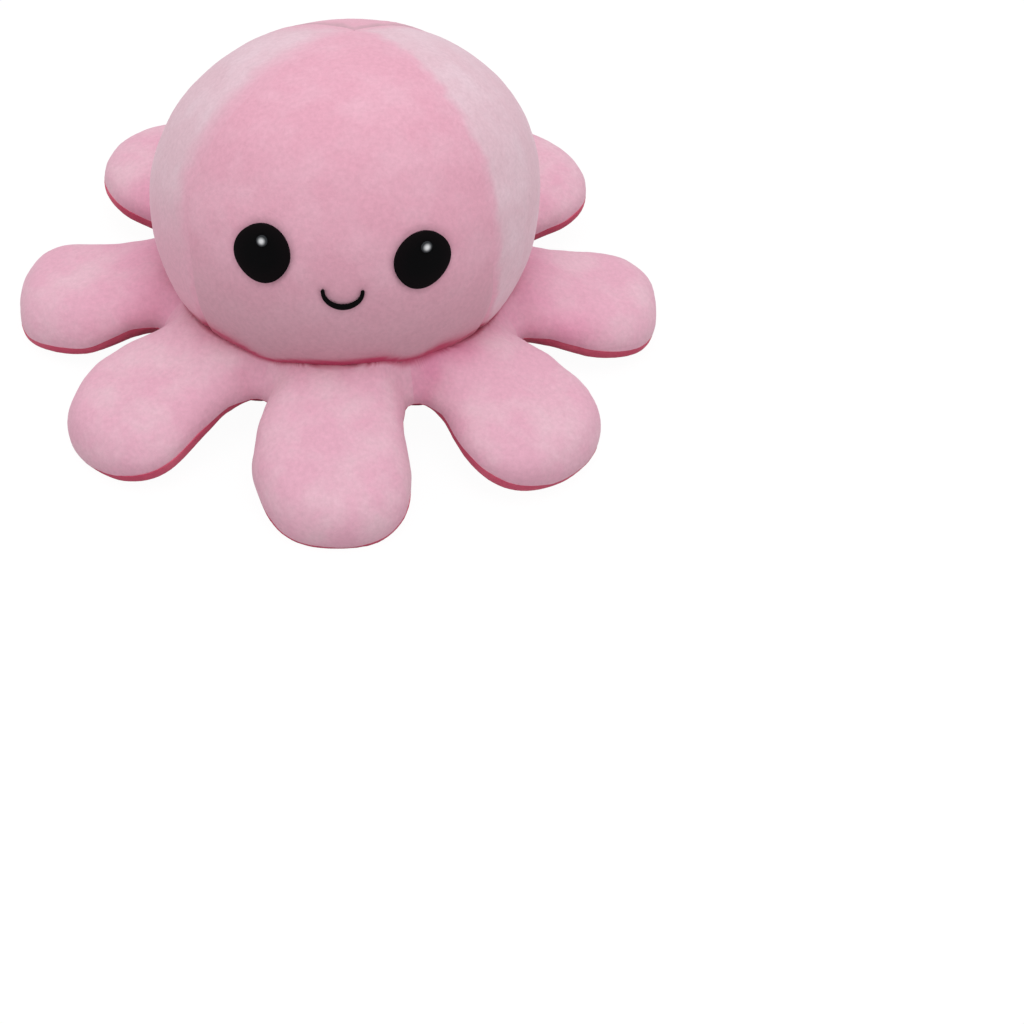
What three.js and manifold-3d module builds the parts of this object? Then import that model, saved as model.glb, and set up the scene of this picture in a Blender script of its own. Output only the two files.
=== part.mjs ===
// Plush octopus that turns inside out: a round head on a skirt of eight stuffed tentacles.
// Millimetres, +Z up, the face looks along -Y, the floor is Z = 0 and the origin is under the middle.
import * as THREE from "three";
import { mergeVertices } from "three/addons/utils/BufferGeometryUtils.js";
import Module from "manifold-3d";

const wasm = await Module();
wasm.setup();

// Head
const headHalfWidth = 57.5;
const headHalfHeight = 49.8;
const headCentreHeight = 50.4;
const headSquareness = 2.22;
const headLeanDegrees = 18;
const leanFullHeight = 48;
const neckHeight = 16.3;
const crownHoleRadius = 1.2;
const seamAzimuthDegrees = 48;
const azimuthStepDegrees = 12;
const headRows = 10;

// Pocket that the head turns through
const pocketRadius = 37;
const pocketMouthRadius = 35;
const pocketWidestHeight = 40;
const pocketTopHeight = 72;
const pocketSquareness = 2.4;
const pocketRows = 10;

// Cloth and the gaps between pieces
const clothThickness = 1.6;
const fitGap = 0.3;
const seamGap = 0.5;
const skirtFillingGap = 0.7;

// Skirt
const hingeReach = 62;
const notchReach = 64.5;
const notchRadius = 3.8;
const skirtHeight = 12.3;
const frontLift = 5.2;
const frontLiftPower = 3;
const creaseGap = 0.9;
const creaseWidth = 7.5;
const bellyRadius = 40;
const bellyEndRadius = 56;
const mouthRimRadius = 37.5;
const mouthRimHeight = 9;
const notchHalfThickness = 3.2;
const notchThinFromDegrees = 14;
const hingeOverrun = 3;

// Tentacles
const tentacleCount = 8;
const tentacleReach = 100;
const tipRadius = 23;
const pillowHalfThickness = 8.25;
const pillowSquareness = 2.5;
const crestPastTipCentre = 7;
const floorPress = 0.5;
const rootClearance = 0.8;
const bendUpDegrees = 60;
const bendDownDegrees = 30;
const bendStepDegrees = 30;
const backCurlDegrees = 4;
const floorSlabShare = 4;

// Smiling and frowning faces
const eyeAzimuthDegrees = 22;
const eyeHeight = 51.3;
const eyeHalfWidth = 8.4;
const eyeHalfHeight = 8.7;
const eyePointShare = 0.09;
const eyeThickness = 1.1;
const glintRadius = 1.5;
const glintRise = 3.9;
const glintThickness = 0.5;
const smileHalfWidth = 5;
const smileCornerHeight = 43.4;
const smileDrop = 3;
const frownCornerHeight = 40.5;
const frownRise = 3.4;
const stitchWidth = 1.6;
const stitchHeight = 0.8;
const stitchTopShare = 0.6;
const smileLift = 0.1;
const pocketStitchLift = 0.6;
const pocketEyeAzimuthDegrees = 27;
const pocketEyeHeight = 50;
const pocketEyeHalfWidth = 6.5;
const pocketEyeHalfHeight = 6.2;
const browTiltDegrees = 9;
const browCutShare = 0.45;

// Colours and finish
const paleFace = 0xe4a9bc;
const paleSide = 0xe0b9c8;
const rose = 0xd0607a;
const roseSide = 0xcf8a9a;
const fibre = 0xf4f1ec;
const thread = 0x0a0a0c;
const glintColour = 0xd8dade;
const clothRoughness = 0.9;
const threadRoughness = 0.55;

// Points that fall nearer together than this are one corner
const weldTolerance = 0.0001;
const pitchTolerance = 1e-6;

const FULL_TURN = Math.PI * 2;
const radians = THREE.MathUtils.degToRad;
const sectorAngle = FULL_TURN / tentacleCount;
const toy = new THREE.Group();

function addMesh(parent, name, geometry, colour, roughness = clothRoughness) {
  const material = new THREE.MeshStandardMaterial({ color: colour, roughness, metalness: 0 });
  const mesh = new THREE.Mesh(geometry, material);
  mesh.name = name;
  parent.add(mesh);
  return mesh;
}

// Triangles are gathered here, then joined at their shared corners
class Skin {
  constructor() {
    this.positions = [];
  }

  triangle(a, b, c) {
    for (const p of [a, b, c]) this.positions.push(p.x, p.y, p.z);
  }

  // The shorter diagonal, so that a surface and the one under it fold the same way
  quad(a, b, c, d) {
    if (a.distanceTo(c) < b.distanceTo(d)) {
      this.triangle(a, b, c);
      this.triangle(a, c, d);
    } else {
      this.triangle(a, b, d);
      this.triangle(b, c, d);
    }
  }

  // Rows of points; the surface faces the side from which the rows turn counter-clockwise
  sheet(rows, flipped = false) {
    for (let i = 0; i + 1 < rows.length; i += 1) {
      for (let j = 0; j + 1 < rows[i].length; j += 1) {
        const corners = [rows[i][j], rows[i][j + 1], rows[i + 1][j + 1], rows[i + 1][j]];
        if (flipped) corners.reverse();
        this.quad(...corners);
      }
    }
  }

  geometry() {
    const raw = new THREE.BufferGeometry();
    raw.setAttribute("position", new THREE.Float32BufferAttribute(this.positions, 3));
    const joined = mergeVertices(raw, weldTolerance);
    const index = joined.getIndex().array;
    const kept = [];
    for (let i = 0; i < index.length; i += 3) {
      const [a, b, c] = index.slice(i, i + 3);
      if (a !== b && b !== c && c !== a) kept.push(a, b, c);
    }
    joined.setIndex(kept);
    joined.computeVertexNormals();
    return joined;
  }
}

// Two sheets with the same rows become one closed cloth panel
function clothPanel(outer, inner) {
  const skin = new Skin();
  skin.sheet(outer);
  skin.sheet(inner, true);
  const last = outer.length - 1;
  const end = outer[0].length - 1;
  skin.sheet([inner[0], outer[0]]);
  skin.sheet([outer[last], inner[last]]);
  const left = outer.map((row) => row[0]);
  const leftInner = inner.map((row) => row[0]);
  const right = outer.map((row) => row[end]);
  const rightInner = inner.map((row) => row[end]);
  skin.sheet([left, leftInner]);
  skin.sheet([rightInner, right]);
  return skin.geometry();
}

// Sections that each close on themselves, joined all the way round
function ringBody(sections) {
  const skin = new Skin();
  const closedSections = sections.map((section) => [...section, section[0]]);
  skin.sheet([...closedSections, closedSections[0]]);
  return skin.geometry();
}

function toSolid(geometry, matrix = new THREE.Matrix4()) {
  const bare = geometry.clone().applyMatrix4(matrix);
  bare.deleteAttribute("normal");
  bare.deleteAttribute("uv");
  const joined = mergeVertices(bare, weldTolerance);
  const vertProperties = new Float32Array(joined.getAttribute("position").array);
  const triVerts = new Uint32Array(joined.getIndex().array);
  return new wasm.Manifold(new wasm.Mesh({ numProp: 3, vertProperties, triVerts }));
}

function toGeometry(solid) {
  const mesh = solid.getMesh();
  const geometry = new THREE.BufferGeometry();
  geometry.setAttribute("position", new THREE.BufferAttribute(mesh.vertProperties, 3));
  geometry.setIndex(new THREE.BufferAttribute(mesh.triVerts, 1));
  geometry.computeVertexNormals();
  return geometry;
}

// The head leans back above the neck, by an angle that grows to its full value at leanFullHeight
function lean(point) {
  const share = THREE.MathUtils.smoothstep(point.z, neckHeight, leanFullHeight);
  const angle = radians(headLeanDegrees) * share;
  const y = point.y;
  const z = point.z - headCentreHeight;
  const leanedY = y * Math.cos(angle) + z * Math.sin(angle);
  const leanedZ = z * Math.cos(angle) - y * Math.sin(angle) + headCentreHeight;
  return new THREE.Vector3(point.x, leanedY, leanedZ);
}

// A point at an azimuth, where 0 is the front and the angle grows towards +X
function around(azimuth, radius, height) {
  return new THREE.Vector3(radius * Math.sin(azimuth), -radius * Math.cos(azimuth), height);
}

function superellipse(share, squareness) {
  return (1 - Math.min(Math.abs(share), 1) ** squareness) ** (1 / squareness);
}

function headRadius(height, offset) {
  const share = (height - headCentreHeight) / (headHalfHeight + offset);
  return (headHalfWidth + offset) * superellipse(share, headSquareness);
}

function pocketRadiusAt(height, offset) {
  if (height < pocketWidestHeight) {
    const share = (pocketWidestHeight - height) / (pocketWidestHeight - neckHeight);
    return pocketRadius + offset - (pocketRadius - pocketMouthRadius) * share ** 2;
  }
  const share = (height - pocketWidestHeight) / (pocketTopHeight - pocketWidestHeight + offset);
  return (pocketRadius + offset) * superellipse(share, pocketSquareness);
}

// Radius and height pairs from the neck up to the small hole at the crown
function headProfile(offset) {
  const neckShare = (headCentreHeight - neckHeight) / (headHalfHeight + offset);
  const neckAngle = -Math.asin(neckShare ** (headSquareness / 2));
  const crownShare = crownHoleRadius / (headHalfWidth + offset);
  const crownAngle = Math.acos(crownShare ** (headSquareness / 2));
  return Array.from({ length: headRows + 1 }, (_, i) => {
    const angle = THREE.MathUtils.lerp(neckAngle, crownAngle, i / headRows);
    const rise = Math.sign(angle) * Math.abs(Math.sin(angle)) ** (2 / headSquareness);
    const radius = (headHalfWidth + offset) * Math.cos(angle) ** (2 / headSquareness);
    return { radius, height: headCentreHeight + (headHalfHeight + offset) * rise };
  });
}

function pocketProfile(offset) {
  const reach = pocketRadius + offset;
  const topRise = pocketTopHeight - pocketWidestHeight + offset;
  const wallRows = pocketRows / 2;
  const wall = Array.from({ length: wallRows }, (_, i) => {
    const height = THREE.MathUtils.lerp(neckHeight, pocketWidestHeight, i / wallRows);
    return { radius: pocketRadiusAt(height, offset), height };
  });
  const topAngle = Math.acos((crownHoleRadius / reach) ** (pocketSquareness / 2));
  const dome = Array.from({ length: pocketRows - wallRows + 1 }, (_, i) => {
    const angle = (topAngle * i) / (pocketRows - wallRows);
    const radius = reach * Math.cos(angle) ** (2 / pocketSquareness);
    return { radius, height: pocketWidestHeight + topRise * Math.sin(angle) ** (2 / pocketSquareness) };
  });
  return [...wall, ...dome];
}

// One gore of cloth between two seams, narrowing to the crown
function gore(profile, fromDegrees, toDegrees) {
  const steps = Math.round((toDegrees - fromDegrees) / azimuthStepDegrees);
  return profile.map(({ radius, height }) => {
    const trim = Math.asin(seamGap / 2 / radius);
    const from = radians(fromDegrees) + trim;
    const to = radians(toDegrees) - trim;
    return Array.from({ length: steps + 1 }, (_, j) => (
      lean(around(THREE.MathUtils.lerp(from, to, j / steps), radius, height))
    ));
  });
}

// Four gores make the outside of the head, and four the lining of its pocket
const gores = [
  ["face", -seamAzimuthDegrees, seamAzimuthDegrees],
  ["right_side", seamAzimuthDegrees, 180 - seamAzimuthDegrees],
  ["back", 180 - seamAzimuthDegrees, 180 + seamAzimuthDegrees],
  ["left_side", 180 + seamAzimuthDegrees, 360 - seamAzimuthDegrees],
];
for (const [name, from, to] of gores) {
  const isSide = name.endsWith("side");
  const outside = gore(headProfile(0), from, to);
  const inside = gore(headProfile(-clothThickness), from, to);
  addMesh(toy, `${name}_panel`, clothPanel(outside, inside), isSide ? paleSide : paleFace);
  const liningOutside = gore(pocketProfile(0), from, to);
  const liningInside = gore(pocketProfile(-clothThickness), from, to);
  addMesh(toy, `${name}_lining`, clothPanel(liningOutside, liningInside), isSide ? roseSide : rose);
}

// The filling is one thick dome, turned about the middle and then leaned like the cloth
function headFilling() {
  const fillOffset = clothThickness + fitGap;
  const outside = headProfile(-fillOffset).map(({ radius, height }) => new THREE.Vector2(radius, height));
  const inside = pocketProfile(fitGap).map(({ radius, height }) => new THREE.Vector2(radius, height));
  const crown = new THREE.Vector2(0, headCentreHeight + headHalfHeight - fillOffset);
  const pocketTop = new THREE.Vector2(0, pocketTopHeight + fitGap);
  const outline = [pocketTop, ...inside.reverse(), ...outside, crown];
  const turned = new THREE.LatheGeometry(outline, 360 / azimuthStepDegrees);
  turned.rotateX(Math.PI / 2);
  const place = turned.getAttribute("position");
  const corner = new THREE.Vector3();
  for (let i = 0; i < place.count; i += 1) {
    corner.fromBufferAttribute(place, i);
    const leaned = lean(corner);
    place.setXYZ(i, leaned.x, leaned.y, leaned.z);
  }
  turned.deleteAttribute("normal");
  turned.deleteAttribute("uv");
  return toGeometry(toSolid(turned));
}
addMesh(toy, "head_filling", headFilling(), fibre);

// The skirt's middle surface stands higher at the front, where the toy is propped on its front tentacles
function middleHeight(azimuth) {
  return skirtHeight + frontLift * ((1 + Math.cos(azimuth)) / 2) ** frontLiftPower;
}

// Each notch between two tentacles is a round cut; this is the distance from it, inside one sector
const notchAlong = notchReach * Math.cos(sectorAngle / 2);
const notchAcross = notchReach * Math.sin(sectorAngle / 2);
const rootHalfWidth = notchAcross - notchRadius;
function edgeDistance(along, across) {
  const behind = Math.max(notchAlong - along, 0);
  return Math.hypot(behind, notchAcross - Math.abs(across)) - notchRadius;
}

function pillowRise(distance, inset, halfThickness = pillowHalfThickness) {
  const share = Math.min(Math.max((distance - inset) / (rootHalfWidth - inset), 0), 1);
  return (halfThickness - inset) * superellipse(1 - share, pillowSquareness);
}

const creaseRadius = headRadius(neckHeight, 0) + creaseGap;
function skirtTop(along, across, azimuth, inset) {
  const radius = Math.hypot(along, across);
  const full = middleHeight(azimuth) + pillowRise(edgeDistance(along, across), inset) + seamGap / 2;
  const crease = neckHeight - fitGap - inset;
  const share = THREE.MathUtils.smoothstep(radius, creaseRadius, creaseRadius + creaseWidth);
  return THREE.MathUtils.lerp(crease, full, share);
}

// The underside is thinner at the notches, so that only the top cloth shows between the front tentacles
function skirtBottom(along, across, azimuth, inset) {
  const radius = Math.hypot(along, across);
  const aside = Math.abs(Math.atan2(across, along));
  const thinning = THREE.MathUtils.smoothstep(aside, radians(notchThinFromDegrees), sectorAngle / 2);
  const halfThickness = THREE.MathUtils.lerp(pillowHalfThickness, notchHalfThickness, thinning);
  const rise = pillowRise(edgeDistance(along, across), inset, halfThickness);
  const full = middleHeight(azimuth) - rise - seamGap / 2;
  const belly = 1 - THREE.MathUtils.smoothstep(radius, bellyRadius, bellyEndRadius);
  return THREE.MathUtils.lerp(full, inset - floorPress, belly);
}

// A radial line of the skirt, from the middle out to the edge of the cloth
const innerColumnShare = 0.6;
function skirtColumns() {
  const columns = [];
  const corner = hingeReach + hingeOverrun;
  const halfSector = [
    { along: corner, across: 0 },
    { along: corner, across: rootHalfWidth * innerColumnShare },
    { along: corner, across: rootHalfWidth, edge: [0, -1] },
    { along: notchAlong, across: rootHalfWidth, edge: [0, -1] },
    {
      along: (notchReach - notchRadius) * Math.cos(sectorAngle / 2),
      across: (notchReach - notchRadius) * Math.sin(sectorAngle / 2),
      edge: [-Math.cos(sectorAngle / 2), -Math.sin(sectorAngle / 2)],
    },
  ];
  for (let k = 0; k < tentacleCount; k += 1) {
    const middle = k * sectorAngle;
    const left = halfSector.slice(1, -1).reverse().map(({ along, across, edge }) => (
      { along, across: -across, edge: edge && [edge[0], -edge[1]], middle }
    ));
    const right = halfSector.map((column) => ({ ...column, middle }));
    columns.push(...left, ...right);
  }
  return columns;
}

// Points on one column, at the given shares of the way from an inner radius to the edge
function columnPoints(column, innerRadius, shares, heightAt, inset) {
  const [dx, dy] = column.edge ?? [0, 0];
  const angle = Math.atan2(column.across, column.along);
  return shares.map((share) => {
    const edgeInset = share < 1 ? Math.min(inset, clothThickness) : inset;
    const outerAlong = column.along + dx * edgeInset;
    const outerAcross = column.across + dy * edgeInset;
    const along = THREE.MathUtils.lerp(innerRadius * Math.cos(angle), outerAlong, share);
    const across = THREE.MathUtils.lerp(innerRadius * Math.sin(angle), outerAcross, share);
    const azimuth = column.middle + Math.atan2(across, along);
    const height = heightAt(along, across, azimuth, inset);
    return around(azimuth, Math.hypot(along, across), height);
  });
}

const topShares = [0, 0.16, 0.5, 1];
const bottomShares = [0, 0.3, 0.62, 1];
const rimTurnShares = [0, 0.5, 1];
const clothInner = headRadius(neckHeight, -clothThickness);

// The mouth's wall and its rounded lower rim
function mouthPoints(column, inset) {
  const angle = column.middle + Math.atan2(column.across, column.along);
  const wall = pocketMouthRadius - clothThickness + inset;
  const width = mouthRimRadius - wall;
  const bottom = inset - floorPress;
  const top = neckHeight - fitGap;
  const turn = rimTurnShares.map((share) => {
    const swing = (share * Math.PI) / 2;
    const radius = wall + width * (1 - Math.cos(swing));
    return around(angle, radius, bottom + mouthRimHeight * (1 - Math.sin(swing)));
  });
  return [around(angle, wall, top), ...turn];
}

function skirtTopCloth() {
  return ringBody(skirtColumns().map((column) => {
    const upper = columnPoints(column, clothInner, topShares, skirtTop, 0);
    const lower = columnPoints(column, clothInner, topShares, skirtTop, clothThickness);
    return [...upper, ...lower.reverse()];
  }));
}

function skirtBottomCloth() {
  return ringBody(skirtColumns().map((column) => {
    const under = columnPoints(column, bellyRadius, bottomShares, skirtBottom, 0);
    const over = columnPoints(column, bellyRadius, bottomShares, skirtBottom, clothThickness);
    const outside = [...mouthPoints(column, 0), ...under];
    const inside = [...mouthPoints(column, clothThickness), ...over];
    return [...outside.reverse(), ...inside];
  }));
}

function skirtFilling() {
  const inset = clothThickness + skirtFillingGap;
  return ringBody(skirtColumns().map((column) => {
    const upper = columnPoints(column, clothInner, topShares, skirtTop, inset);
    const under = columnPoints(column, bellyRadius, bottomShares, skirtBottom, inset);
    const inside = [...mouthPoints(column, inset), ...under];
    return [...upper, ...inside.reverse()];
  }));
}

// A stuffed tentacle lies along +X from its hinge line, swelling to a round tip; its root is round
// about the hinge line, so that it can bend. The inset shrinks it evenly, to give cloth and filling.
const sideSteps = 1;
const tipSteps = 8;
const crestSteps = 3;
const rootSteps = 3;
const tipCentre = tentacleReach - tipRadius - hingeReach;

function tentacleOutline(inset) {
  const radius = tipRadius - inset;
  const half = rootHalfWidth - inset;
  const reach = Math.hypot(tipCentre, half);
  const sideEnd = Math.PI - Math.atan2(half, tipCentre) - Math.acos(Math.min(radius / reach, 1));
  const right = [];
  for (let i = 0; i < sideSteps; i += 1) {
    const endX = tipCentre + radius * Math.cos(sideEnd);
    const endY = radius * Math.sin(sideEnd);
    right.push([THREE.MathUtils.lerp(0, endX, i / sideSteps), THREE.MathUtils.lerp(half, endY, i / sideSteps)]);
  }
  for (let i = 0; i <= tipSteps / 2; i += 1) {
    const angle = THREE.MathUtils.lerp(sideEnd, 0, (i * 2) / tipSteps);
    right.push([tipCentre + radius * Math.cos(angle), radius * Math.sin(angle)]);
  }
  const left = right.slice(0, -1).map(([x, y]) => [x, -y]);
  return [...left, ...right.reverse()];
}

// Upper half of the pillow: rows from the seam up to the crest, running round the tip
function pillowRows(inset) {
  const crestEnd = tipCentre + crestPastTipCentre;
  const reach = tipCentre + tipRadius - inset;
  return Array.from({ length: crestSteps + 1 }, (_, i) => {
    const swing = (i / crestSteps) * (Math.PI / 2);
    const inward = 1 - Math.cos(swing) ** (2 / pillowSquareness);
    const rise = (pillowHalfThickness - inset) * Math.sin(swing) ** (2 / pillowSquareness);
    return tentacleOutline(inset).map(([x, y]) => (
      new THREE.Vector3(THREE.MathUtils.lerp(x, (x * crestEnd) / reach, inward), y * (1 - inward), rise)
    ));
  });
}

// The round root: each point of the cut section swings back about the hinge line
function rootRows(rows) {
  const left = rows.map((row) => row[0]);
  const right = rows.map((row) => row[row.length - 1]);
  const section = [...left, ...right.reverse().slice(1)];
  return Array.from({ length: rootSteps + 1 }, (_, i) => {
    const swing = (i / rootSteps) * (Math.PI / 2);
    return section.map((p) => new THREE.Vector3(-p.z * Math.sin(swing), p.y, p.z * Math.cos(swing)));
  });
}

function halfPillow(skin, inset, direction, gap, inward) {
  const place = (p) => new THREE.Vector3(p.x, p.y, direction * (p.z + gap));
  const rows = pillowRows(inset);
  const flipped = (direction < 0) !== inward;
  skin.sheet(rows.map((row) => row.map(place)), flipped);
  const root = rootRows(rows);
  skin.sheet(root.map((row) => row.map(place)), flipped);
  const rim = [...rows[0], ...root[rootSteps].slice(1, -1).reverse()];
  return rim.map(place);
}

function closedPillow(inset) {
  const skin = new Skin();
  halfPillow(skin, inset, 1, 0, false);
  halfPillow(skin, inset, -1, 0, false);
  return skin.geometry();
}

function halfCloth(direction) {
  const skin = new Skin();
  const outer = halfPillow(skin, 0, direction, seamGap / 2, false);
  const inner = halfPillow(skin, clothThickness, direction, seamGap / 2, true);
  skin.sheet([[...inner, inner[0]], [...outer, outer[0]]], direction < 0);
  return skin.geometry();
}

// How each tentacle lies: its azimuth is k sectors from the front; those beside the back one curl up
const tentacleNames = [
  "front", "front_right", "right", "back_right", "back", "back_left", "left", "front_left",
];
const curledTentacles = new Set(["back_right", "back_left"]);

function rootMatrix(k, pitch) {
  const azimuth = k * sectorAngle;
  const half = sectorAngle / 2;
  const slope = (middleHeight(azimuth + half) - middleHeight(azimuth - half)) / (2 * rootHalfWidth);
  const place = new THREE.Matrix4().makeTranslation(around(azimuth, hingeReach, middleHeight(azimuth)));
  place.multiply(new THREE.Matrix4().makeRotationZ(azimuth - Math.PI / 2));
  place.multiply(new THREE.Matrix4().makeRotationX(Math.atan(slope)));
  return place.multiply(new THREE.Matrix4().makeRotationY(pitch));
}

// A tentacle is lowered about its root until its underside presses a little into the floor
function restingPitch(k, geometry) {
  if (curledTentacles.has(tentacleNames[k])) return -radians(backCurlDegrees);
  const place = geometry.getAttribute("position");
  const corner = new THREE.Vector3();
  const lowest = (pitch) => {
    const matrix = rootMatrix(k, pitch);
    let low = Infinity;
    for (let i = 0; i < place.count; i += 1) {
      low = Math.min(low, corner.fromBufferAttribute(place, i).applyMatrix4(matrix).z);
    }
    return low;
  };
  let level = 0;
  let steep = radians(bendUpDegrees);
  while (steep - level > pitchTolerance) {
    const middle = (level + steep) / 2;
    if (lowest(middle) > -floorPress) level = middle;
    else steep = middle;
  }
  return level;
}

const topCloth = halfCloth(1);
const bottomCloth = halfCloth(-1);
const tentacleFilling = closedPillow(clothThickness + fitGap);
const floorSlab = floorSlabShare * tentacleReach;
const floorCut = new THREE.BoxGeometry(floorSlab, floorSlab, floorSlab);
const floorSolid = toSolid(floorCut, new THREE.Matrix4().makeTranslation(0, 0, -floorSlab / 2));

// The room that one tentacle needs as it bends, in its own frame
const clearPillow = closedPillow(-rootClearance);
let bendRoom = toSolid(clearPillow, new THREE.Matrix4().makeRotationY(radians(bendDownDegrees)));
for (let angle = bendDownDegrees - bendStepDegrees; angle >= -bendUpDegrees; angle -= bendStepDegrees) {
  bendRoom = bendRoom.add(toSolid(clearPillow, new THREE.Matrix4().makeRotationY(radians(angle))));
}
const bendRoomGeometry = toGeometry(bendRoom);
let allBendRoom = null;

tentacleNames.forEach((name, k) => {
  const matrix = rootMatrix(k, restingPitch(k, bottomCloth));
  const group = new THREE.Group();
  group.applyMatrix4(matrix);
  const inverse = matrix.clone().invert();
  const underside = toSolid(bottomCloth, matrix).subtract(floorSolid);
  const restingCloth = toGeometry(underside).applyMatrix4(inverse);
  addMesh(group, `${name}_tentacle_top_cloth`, topCloth, paleFace);
  addMesh(group, `${name}_tentacle_filling`, tentacleFilling, fibre);
  addMesh(group, `${name}_tentacle_bottom_cloth`, restingCloth, rose);
  toy.add(group);
  const room = toSolid(bendRoomGeometry, matrix);
  allBendRoom = allBendRoom ? allBendRoom.add(room) : room;
});

function cutForTentacles(geometry) {
  return toGeometry(toSolid(geometry).subtract(allBendRoom).subtract(floorSolid));
}
addMesh(toy, "skirt_top_cloth", cutForTentacles(skirtTopCloth()), paleFace);
addMesh(toy, "skirt_filling", cutForTentacles(skirtFilling()), fibre);
addMesh(toy, "skirt_bottom_cloth", cutForTentacles(skirtBottomCloth()), rose);

// Both faces are sewn on: a face surface gives the point at an azimuth and height, raised off the cloth
function onHead(azimuth, height, raised) {
  return lean(around(azimuth, headRadius(height, raised), height));
}

function inPocket(azimuth, height, raised) {
  const offset = -clothThickness - pocketStitchLift - raised;
  return lean(around(azimuth, pocketRadiusAt(height, offset), height));
}

const stitchBase = fitGap;
const glintBase = stitchBase + eyeThickness + fitGap;
const eyeSpokes = 16;
const glintSpokes = 8;
const patchRingShares = [0.55, 1];
const patchEdgeShare = 0.5;

// A thin domed patch with the given outline, its size in millimetres along the cloth
function patch(surface, azimuth, height, clothRadius, outline, base, thickness, spokes) {
  const at = (share, angle, raised) => {
    const [u, v] = outline(angle);
    return surface(azimuth + (u * share) / clothRadius, height + v * share, raised);
  };
  const skin = new Skin();
  const layer = (raisedAt, flipped) => {
    const rows = patchRingShares.map((share) => (
      Array.from({ length: spokes + 1 }, (_, i) => at(share, (FULL_TURN * i) / spokes, raisedAt(share)))
    ));
    const hub = at(0, 0, raisedAt(0));
    skin.sheet([rows[0].map(() => hub), ...rows], flipped);
    return rows[rows.length - 1];
  };
  const crownShare = 1 - patchEdgeShare;
  const dome = (share) => base + thickness * (patchEdgeShare + crownShare * superellipse(share, 2));
  const upper = layer(dome, surface === onHead);
  const lower = layer(() => base, surface !== onHead);
  skin.sheet([upper, lower], surface === onHead);
  return skin.geometry();
}

// A raised arc of stitches on the cloth, from corner to corner, drawn to a point past each corner
function stitchedArc(surface, clothRadius, cornerHeight, depth, base) {
  const sectionShares = [[-1, 0], [-stitchTopShare, 1], [stitchTopShare, 1], [1, 0]];
  const arcPoint = (angle, out) => {
    const u = (smileHalfWidth + out) * Math.cos(angle);
    const v = (Math.abs(depth) + out) * Math.sin(angle) * Math.sign(depth);
    return [u / clothRadius, cornerHeight + v];
  };
  const rows = Array.from({ length: smileSteps + 1 }, (_, i) => {
    const angle = Math.PI * (1 - i / smileSteps);
    return sectionShares.map(([side, up]) => {
      const out = (Math.sign(depth) * side * stitchWidth) / 2;
      return surface(...arcPoint(angle, out), base + up * stitchHeight);
    });
  });
  const skin = new Skin();
  const flipped = surface !== onHead;
  skin.sheet(rows.map((row) => [...row, row[0]]), !flipped);
  for (const [row, turned] of [[rows[0], flipped], [rows[smileSteps], !flipped]]) {
    const [first, second, third, fourth] = turned ? [...row].reverse() : row;
    skin.quad(first, second, third, fourth);
  }
  return skin.geometry();
}

const eyeOutline = (angle) => {
  const point = 1 + eyePointShare * Math.sin(angle);
  return [eyeHalfWidth * Math.cos(angle) * (2 - point), eyeHalfHeight * Math.sin(angle)];
};
const glintOutline = (angle) => [glintRadius * Math.cos(angle), glintRadius * Math.sin(angle)];
const glintPatch = (...place) => patch(...place, glintOutline, glintBase, glintThickness, glintSpokes);
const smileSteps = 12;

for (const [name, side] of [["left", -1], ["right", 1]]) {
  const azimuth = side * radians(eyeAzimuthDegrees);
  const eyeCloth = headRadius(eyeHeight, 0);
  const eye = patch(onHead, azimuth, eyeHeight, eyeCloth, eyeOutline, stitchBase, eyeThickness, eyeSpokes);
  addMesh(toy, `${name}_eye`, eye, thread, threadRoughness);
  const glintHeight = eyeHeight + glintRise;
  const glint = glintPatch(onHead, azimuth, glintHeight, eyeCloth);
  addMesh(toy, `${name}_eye_glint`, glint, glintColour, threadRoughness);

  // The frowning eye is a disc whose top is cut by a brow that slants down towards the nose
  const browOutline = (angle) => {
    const tilt = side * radians(browTiltDegrees);
    const u = pocketEyeHalfWidth * Math.cos(angle);
    const v = pocketEyeHalfHeight * Math.sin(angle);
    const limit = pocketEyeHalfHeight * browCutShare + u * Math.tan(tilt);
    return [u, Math.min(v, limit)];
  };
  const pocketAzimuth = side * radians(pocketEyeAzimuthDegrees);
  const lining = pocketRadiusAt(pocketEyeHeight, -clothThickness);
  const place = [inPocket, pocketAzimuth, pocketEyeHeight, lining];
  const crossEye = patch(...place, browOutline, stitchBase, eyeThickness, eyeSpokes);
  addMesh(toy, `lining_${name}_eye`, crossEye, thread, threadRoughness);
  addMesh(toy, `lining_${name}_eye_glint`, glintPatch(...place), glintColour, threadRoughness);
}

const smileCloth = headRadius(smileCornerHeight, 0);
const smile = stitchedArc(onHead, smileCloth, smileCornerHeight, -smileDrop, smileLift);
addMesh(toy, "smile", smile, thread, threadRoughness);
const frownCloth = pocketRadiusAt(frownCornerHeight, -clothThickness);
const frown = stitchedArc(inPocket, frownCloth, frownCornerHeight, frownRise, stitchBase);
addMesh(toy, "lining_frown", frown, thread, threadRoughness);

export default toy;
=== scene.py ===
# %% [markdown]
# # A plush octopus that turns inside out
# The toy is a round stuffed head on a skirt of eight stuffed tentacles, all in short-pile cloth: pale pink
# outside and rose inside. The solids come from the frame; every cloth, filling and stitched patch that shows
# is modelled here round them.

# %% Load the frame
import math

import bpy
import numpy as np
from mathutils import Matrix, Vector, noise


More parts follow.
